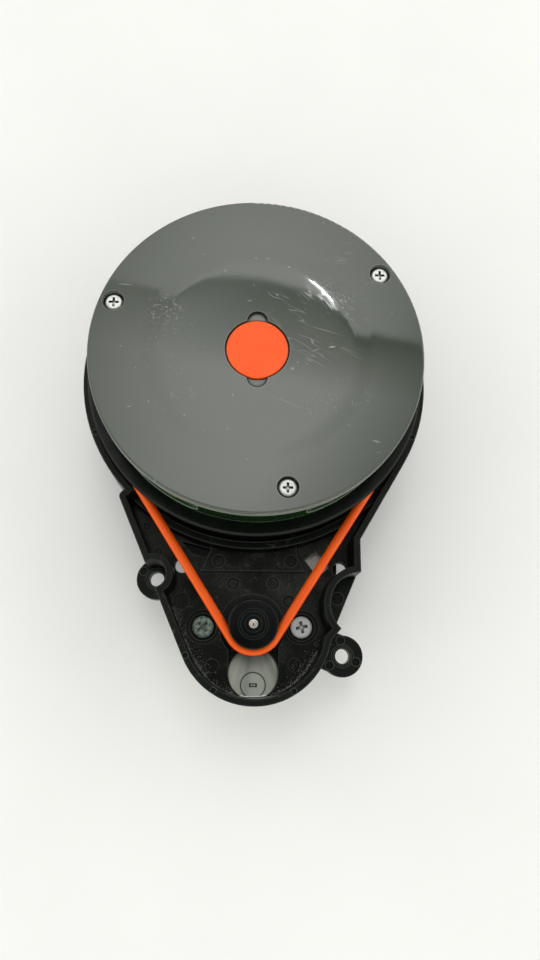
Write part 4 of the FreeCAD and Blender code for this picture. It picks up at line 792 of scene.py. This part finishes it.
@dataclass
class Studio:
    """Camera, floor and soft lights.

    Attributes:
        eye: the camera's place in mm.
        right: the picture's rightward direction.
        up: the picture's upward direction.
        forward: the direction the camera looks in.
        lens: focal length in mm on a 36 mm sensor.
        floor_half: half the floor's width in metres.
        lamp_place: place of the small lamp that glints on the lid, made of bulbs in a shallow arc.
        lamp_size: length and width of one bulb in metres.
        lamp_along: direction of the bulbs' length.
        lamp_steps: each bulb's shift along that direction and across it, in metres.
        lamp_power: one bulb's power in watts.
        lamp_aim: the place that the lamp faces: the middle of the lid.
        even: strength of the ceiling away from its bright middle.
        walls: strength of the pale walls all round.
        wall_slopes: slopes at which the walls begin and at which they are full.
        bright: strength in the middle of the soft ceiling light.
        bright_at: that middle, as slopes along X and Y from straight up.
        bright_shape: width of that light along X and Y, as shares of its fall.
        bright_fall: slopes from there at which it has died away, and within which it is full.
        dim_lean: how much of the slope along Y is taken off the slope along X for the dimming.
        dim_slopes: that difference where the dimming begins and where it is complete.
        dimmed: what the dimming leaves.
        band_edge: slope at which the dark beam across the ceiling begins.
        band_tilt: how far the beam's edge leans, as Y per X.
        band_soft: half the width of its soft edge.
        band_fade: slopes from its edge at which it has died away, and within which it is full.
        band_slopes: slopes along X between which the beam deepens.
        band_depths: its depth at those two slopes.
        shade_at: middle of the shaded patch over the tail, as slopes.
        shade_fall: distance in slopes at which it has died away, and within which it is full.
        shade: how much light it takes.
    """

    eye: Place = (-3.616, -69.999, 190.838)
    right: Place = (0.9990, 0.0038, 0.0451)
    up: Place = (-0.0152, 0.9666, 0.2557)
    forward: Place = (0.0426, 0.2561, -0.9657)
    lens: float = 27.0
    floor_half: float = 1.5
    lamp_place: Place = (0.192, 0.969, 1.80)
    lamp_size: tuple[float, float] = (0.030, 0.010)
    lamp_along: Place = (-0.677, 0.736, 0.0)
    lamp_steps: tuple[tuple[float, float], ...] = (
        (-0.024, -0.0024), (-0.012, -0.0006), (0.0, 0.0), (0.012, -0.0006), (0.024, -0.0024))
    lamp_power: float = 0.07
    lamp_aim: Place = (0.0, 0.0, 0.042)
    even: float = 0.55
    walls: float = 1.5
    wall_slopes: tuple[float, float] = (0.8, 1.1)
    bright: float = 3.3
    bright_at: tuple[float, float] = (0.03, 0.40)
    bright_shape: tuple[float, float] = (0.7, 1.3)
    bright_fall: tuple[float, float] = (0.60, 0.04)
    dim_lean: float = 0.8
    dim_slopes: tuple[float, float] = (-0.18, -0.02)
    dimmed: float = 0.5
    band_edge: float = 0.54
    band_tilt: float = 0.2
    band_soft: float = 0.006
    band_fade: tuple[float, float] = (-0.105, -0.008)
    band_slopes: tuple[float, float] = (-0.25, 0.12)
    band_depths: tuple[float, float] = (0.35, 0.96)
    shade_at: tuple[float, float] = (-0.08, -0.12)
    shade_fall: tuple[float, float] = (0.38, 0.16)
    shade: float = 0.9

    def camera(self) -> None:
        """Sets the camera to the photograph's place and direction."""
        data = bpy.data.cameras.new("camera")
        data.lens, data.sensor_width = self.lens, SENSOR_WIDTH
        data.clip_start, data.clip_end = CLIP_NEAR, CLIP_FAR
        camera = bpy.data.objects.new("camera", data)
        back = tuple(-c for c in self.forward)
        turn = Matrix((self.right, self.up, back)).transposed()
        camera.matrix_world = Matrix.Translation(Vector(self.eye) * MM) @ turn.to_4x4()
        bpy.context.scene.collection.objects.link(camera)
        bpy.context.scene.camera = camera

    def floor(self, low: float) -> None:
        """Lays a plain pale floor under the object.

        Args:
            low: height of the object's underside.
        """
        half = self.floor_half
        mesh = bpy.data.meshes.new("floor")
        corners = [(-half, -half, low), (half, -half, low), (half, half, low), (-half, half, low)]
        mesh.from_pydata(corners, [], [(0, 1, 2, 3)])
        floor = bpy.data.objects.new("floor", mesh)
        bpy.context.scene.collection.objects.link(floor)
        mesh.materials.append(PAPER.build())
        floor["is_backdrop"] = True

    def lamp(self) -> None:
        """Hangs the small arc of bulbs far up behind the turret, across the line to it."""
        back = (Vector(self.lamp_place) - Vector(self.lamp_aim)).normalized()
        along = Vector(self.lamp_along)
        along = (along - along.dot(back) * back).normalized()
        across = back.cross(along)
        turn = Matrix((along, across, back)).transposed().to_4x4()
        outward = -across if across.y < 0 else across
        for shift, rise in self.lamp_steps:
            data = bpy.data.lights.new("lamp", "AREA")
            data.shape, data.energy = "ELLIPSE", self.lamp_power
            data.size, data.size_y = self.lamp_size
            light = bpy.data.objects.new("lamp", data)
            place = Vector(self.lamp_place) + shift * along + rise * outward
            light.matrix_world = Matrix.Translation(place) @ turn
            bpy.context.scene.collection.objects.link(light)

    def ceiling(self, tree: Tree, slope_x: Socket, slope_y: Socket, slopes: Socket) -> Socket:
        """The ceiling's soft light and the pale walls below it.

        Args:
            tree: the world's node tree.
            slope_x: the direction's slope along X from straight up.
            slope_y: its slope along Y.
            slopes: both as a vector.

        Returns:
            The light's strength.
        """
        squeezed = add(tree, "Mapping", {"Vector": slopes, "Location": (*self.bright_at, 0.0),
                                         "Scale": (*self.bright_shape, 1.0)}, vector_type="TEXTURE")
        away = add(tree, "VectorMath", {0: squeezed}, operation="LENGTH")
        lobe = add(tree, "MapRange", {"Value": away.outputs["Value"],
                                      "From Min": self.bright_fall[0],
                                      "From Max": self.bright_fall[1], "To Min": self.even,
                                      "To Max": self.bright}, interpolation_type="SMOOTHSTEP")
        slanted = add(tree, "Math", {0: slope_y, 1: -self.dim_lean, 2: slope_x},
                      operation="MULTIPLY_ADD")
        dimmer = add(tree, "MapRange", {"Value": slanted, "From Min": self.dim_slopes[0],
                                        "From Max": self.dim_slopes[1], "To Min": 1.0,
                                        "To Max": self.dimmed})
        above = add(tree, "Math", {0: lobe, 1: dimmer}, operation="MULTIPLY")
        low = add(tree, "VectorMath", {0: slopes}, operation="LENGTH")
        wall = add(tree, "MapRange", {"Value": low.outputs["Value"],
                                      "From Min": self.wall_slopes[0],
                                      "From Max": self.wall_slopes[1], "To Max": self.walls},
                   interpolation_type="SMOOTHSTEP")
        return add(tree, "Math", {0: above, 1: wall}, operation="MAXIMUM").outputs[0]

    def beam(self, tree: Tree, slope_x: Socket, slope_y: Socket) -> Socket:
        """The dark beam across the ceiling: sharp on its far side, dying away on its near side.

        Args:
            tree: the world's node tree.
            slope_x: the direction's slope along X from straight up.
            slope_y: its slope along Y.

        Returns:
            How much light the beam takes.
        """
        tilted = add(tree, "Math", {0: slope_x, 1: self.band_tilt, 2: slope_y},
                     operation="MULTIPLY_ADD")
        past_edge = add(tree, "Math", {0: tilted, 1: self.band_edge}, operation="SUBTRACT")
        edge = add(tree, "MapRange", {"Value": past_edge, "From Min": self.band_soft,
                                      "From Max": -self.band_soft}, interpolation_type="SMOOTHSTEP")
        fade = add(tree, "MapRange", {"Value": past_edge, "From Min": self.band_fade[0],
                                      "From Max": self.band_fade[1]})
        depth = add(tree, "MapRange", {"Value": slope_x, "From Min": self.band_slopes[0],
                                       "From Max": self.band_slopes[1],
                                       "To Min": self.band_depths[0],
                                       "To Max": self.band_depths[1]})
        beam = add(tree, "Math", {0: edge, 1: fade}, operation="MULTIPLY")
        return add(tree, "Math", {0: beam, 1: depth}, operation="MULTIPLY").outputs[0]

    def sky(self) -> None:
        """Surrounds the scene with soft light that is brightest on a patch of ceiling.

        Each direction is read as its slopes along X and Y from straight up. The light falls off
        smoothly away from the bright middle, is broken by one dark beam, and is shaded where the
        viewer stands.
        """
        world = bpy.data.worlds.new("studio")
        world.use_nodes = True
        tree = world.node_tree
        tree.nodes.clear()
        aim = add(tree, "SeparateXYZ", {0: add(tree, "TexCoord", {}).outputs["Generated"]})
        height = add(tree, "Math", {0: aim.outputs["Z"], 1: LEAST_RISE}, operation="MAXIMUM")
        slope_x, slope_y = (
            add(tree, "Math", {0: aim.outputs[axis], 1: height},
                operation="DIVIDE").outputs[0] for axis in "XY")
        slopes = add(tree, "CombineXYZ", {"X": slope_x, "Y": slope_y}).outputs[0]
        lit = self.ceiling(tree, slope_x, slope_y, slopes)
        beam = self.beam(tree, slope_x, slope_y)

        near = add(tree, "VectorMath", {0: slopes, 1: (*self.shade_at, 0.0)}, operation="DISTANCE")
        shade = add(tree, "MapRange", {"Value": near.outputs["Value"],
                                       "From Min": self.shade_fall[0],
                                       "From Max": self.shade_fall[1], "To Max": self.shade},
                    interpolation_type="SMOOTHSTEP")
        covered = add(tree, "Math", {0: beam, 1: shade}, operation="MAXIMUM")
        left = add(tree, "Math", {0: 1.0, 1: covered}, operation="SUBTRACT")
        strength = add(tree, "Math", {0: lit, 1: left}, operation="MULTIPLY")
        glow = add(tree, "Background", {"Color": linear("#FEFEFB"), "Strength": strength})
        add(tree, "OutputWorld", {"Surface": glow})
        bpy.context.scene.world = world
        bpy.context.scene.view_settings.view_transform = "Standard"

    def build(self, low: float) -> None:
        """Sets up camera, floor and lights.

        Args:
            low: height of the object's underside.
        """
        self.camera()
        self.floor(low)
        self.lamp()
        self.sky()
        LOG.info("studio is set")


@dataclass
class SubAssembly:
    """A group of CAD nodes and the finishes they wear.

    Attributes:
        body: the CAD body that its new pieces ride on.
        wears: finish of each CAD node by name.
    """

    body: str
    wears: dict[str, Finish]

    def dress(self, nodes: Nodes, made: dict[str, bpy.types.Material]) -> None:
        """Gives each CAD node its material.

        Args:
            nodes: the CAD nodes by name.
            made: materials made so far, by name; new ones are added.
        """
        for name, finish in self.wears.items():
            if finish.name not in made:
                made[finish.name] = finish.build()
            for place in nodes[name].material_slots:
                place.material = made[finish.name]
        LOG.info("%s: dressed %d nodes", type(self).__name__, len(self.wears))


@dataclass
class Turret(SubAssembly):
    """Lid, wall, wheel and everything that spins with them."""

    body: str = "turret"
    wears: dict[str, Finish] = field(default_factory=lambda: {
        "top_cover": LID, "centre_cap": CAP, "cover_screws": ZINC, "turret_shell": SHELL,
        "turret_base": WHEEL, "turret_screws": ZINC, "rotor_board": BOARD,
        "rotor_board_screws": ZINC, "rotor_chips": INNER, "laser_holder": INNER,
        "laser_barrel": BRASS, "laser_lens": GLASS, "laser_diode": STEEL, "receiver_holder": INNER,
        "receiver_barrel": ANODISED, "receiver_lens": GLASS, "sensor_board": BOARD,
        "sensor_chip": INNER, "data_lamp": INNER, "rotor_ferrite": FERRITE, "rotor_coil": COPPER,
        "bearing_inner_ring": STEEL, "hub_clip": STEEL})


@dataclass
class Bearing(SubAssembly):
    """Balls and cage, which roll at their own speed."""

    body: str = "ball_set"
    wears: dict[str, Finish] = field(default_factory=lambda: {
        "bearing_cage": BRASS, "bearing_balls": STEEL})


@dataclass
class Drive(SubAssembly):
    """Pulley, shaft and rotor of the motor."""

    body: str = "pulley"
    wears: dict[str, Finish] = field(default_factory=lambda: {
        "motor_shaft": STEEL, "drive_pulley": PULLEY, "motor_armature": STEEL,
        "motor_commutator": COPPER})


@dataclass
class Tray(SubAssembly):
    """Housing, motor, boards and belt: what stays still, with the dust settled in the tail.

    Attributes:
        foot_line: points in mm along the foot of the tail's wall, from the left round its end.
        middle: a point in mm that lies inward of all of that line.
        floor_level: the tail floor's height in mm.
        grains: number of places drawn for dust grains.
        lint_share: how many of them lie in the line of lint at the wall's foot.
        lint_width: spread of the lint across the line in mm.
        lint_off: distance of the lint's middle from the foot, in spreads.
        loose_width: spread of the loose grains in mm.
        grain_size: smallest and largest half size of a grain in mm.
        flat: height of a grain as a share of its width.
        uneven: least and greatest stretch of each corner of a grain.
        sunk: height of a grain's middle above the floor, as a share of its half height.
        openings: middle and radius, in mm, of each round recess that has no grains.
        seed: seed of the grains' places.
    """

    body: str = "base"
    wears: dict[str, Finish] = field(default_factory=lambda: {
        "base_housing": TRAY, "bearing_outer_ring": STEEL, "stator_ferrite": FERRITE,
        "stator_coil": COPPER, "light_gate": INNER, "drive_belt": BELT, "motor_can": CAN,
        "motor_bush": BRASS, "motor_end_plate": INNER, "motor_terminals": BRASS,
        "motor_magnets": FERRITE, "motor_screw_left": DULL_ZINC, "motor_screw_right": MATT_ZINC,
        "bottom_cover": TRAY, "bottom_cover_screws": ZINC, "base_board": BOARD,
        "base_board_screws": ZINC, "base_chips": INNER, "photodiode": INNER, "cable_header": IVORY,
        "header_pins": BRASS, "motor_socket": IVORY})
    foot_line: tuple[tuple[float, float], ...] = (
        (-19.5, -55.2), (-17.3, -60.8), (-14.3, -66.9), (-10.5, -72.4), (-7.3, -74.6),
        (-4.1, -75.6), (0.3, -76.2), (4.7, -75.8), (8.7, -74.2), (12.3, -70.9),
        (15.0, -66.8), (16.8, -65.0), (17.8, -61.8))
    middle: tuple[float, float] = (0.4, -58.0)
    floor_level: float = 17.0
    grains: int = 1900
    lint_share: float = 0.7
    lint_width: float = 0.2
    lint_off: float = 1.5
    loose_width: float = 1.4
    grain_size: tuple[float, float] = (0.05, 0.14)
    flat: float = 0.6
    uneven: tuple[float, float] = (0.7, 1.3)
    sunk: float = 0.4
    openings: tuple[Place, ...] = ((0.3, -70.6, 6.3), (-11.7, -60.0, 4.1), (11.7, -60.0, 4.1))
    seed: int = 7

    def dust(self) -> None:
        """Scatters grains along the foot of the tail's wall.

        Each grain is an octahedron, stretched and turned at random. Its place runs evenly along
        the line of the wall's foot and lies off it by a normal deviate: a narrow one for the lint
        at the foot itself, and a wide one, always inward, for the loose grains. Places over the
        recesses are dropped.
        """
        draw = np.random.default_rng(self.seed)
        line = np.array(self.foot_line)
        run = np.concatenate(((0.0,), np.cumsum(np.hypot(*np.diff(line, axis=0).T))))
        at = draw.uniform(0.0, run[-1], self.grains)
        foot = np.column_stack([np.interp(at, run, line[:, k]) for k in (0, 1)])
        inward = np.array(self.middle) - foot
        inward /= np.hypot(*inward.T)[:, None]
        lint = draw.random(self.grains) < self.lint_share
        off = draw.normal(0.0, 1.0, self.grains)
        off = np.where(lint, self.lint_width * (self.lint_off + off),
                       self.loose_width * np.abs(off))
        place = foot + inward * off[:, None]
        holes = np.array(self.openings)
        gap = np.hypot(place[:, None, 0] - holes[:, 0], place[:, None, 1] - holes[:, 1])
        place = place[np.all(gap - holes[:, 2] > 0.0, axis=1)]
        count = len(place)
        size = draw.uniform(*self.grain_size, (count, 3)) * (1.0, 1.0, self.flat)
        middle = np.column_stack((place, self.floor_level + self.sunk * size[:, 2]))
        turn = draw.uniform(0.0, 2 * math.pi, count)
        stretch = draw.uniform(*self.uneven, (count, len(OCTAHEDRON), 1))
        spread = OCTAHEDRON[None] * size[:, None, :] * stretch
        cosine, sine = np.cos(turn)[:, None], np.sin(turn)[:, None]
        turned = np.stack((spread[..., 0] * cosine - spread[..., 1] * sine,
                           spread[..., 0] * sine + spread[..., 1] * cosine,
                           spread[..., 2]), axis=-1)
        points = (turned + middle[:, None, :]).reshape(-1, 3) * MM
        first = len(OCTAHEDRON) * np.arange(count)[:, None, None]
        faces = (OCTAHEDRON_SIDES[None] + first).reshape(-1, 3)
        mesh = bpy.data.meshes.new("tail_dust")
        mesh.from_pydata(points.tolist(), [], faces.tolist())
        mesh.materials.append(GRIT.build())
        piece = bpy.data.objects.new("tail_dust", mesh)
        bpy.context.scene.collection.objects.link(piece)
        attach(piece, self.body)
        LOG.info("tail_dust: %d grains", count)


def main() -> None:
    """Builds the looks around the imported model."""
    logging.basicConfig(level=logging.INFO, format="%(message)s")
    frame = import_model()
    cad_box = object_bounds()
    Studio().build(cad_box[0].z)
    made: dict[str, bpy.types.Material] = {}
    tray = Tray()
    for group in (Turret(), Bearing(), Drive(), tray):
        group.dress(frame["nodes"], made)
    tray.dust()


if __name__ == "__main__":
    main()
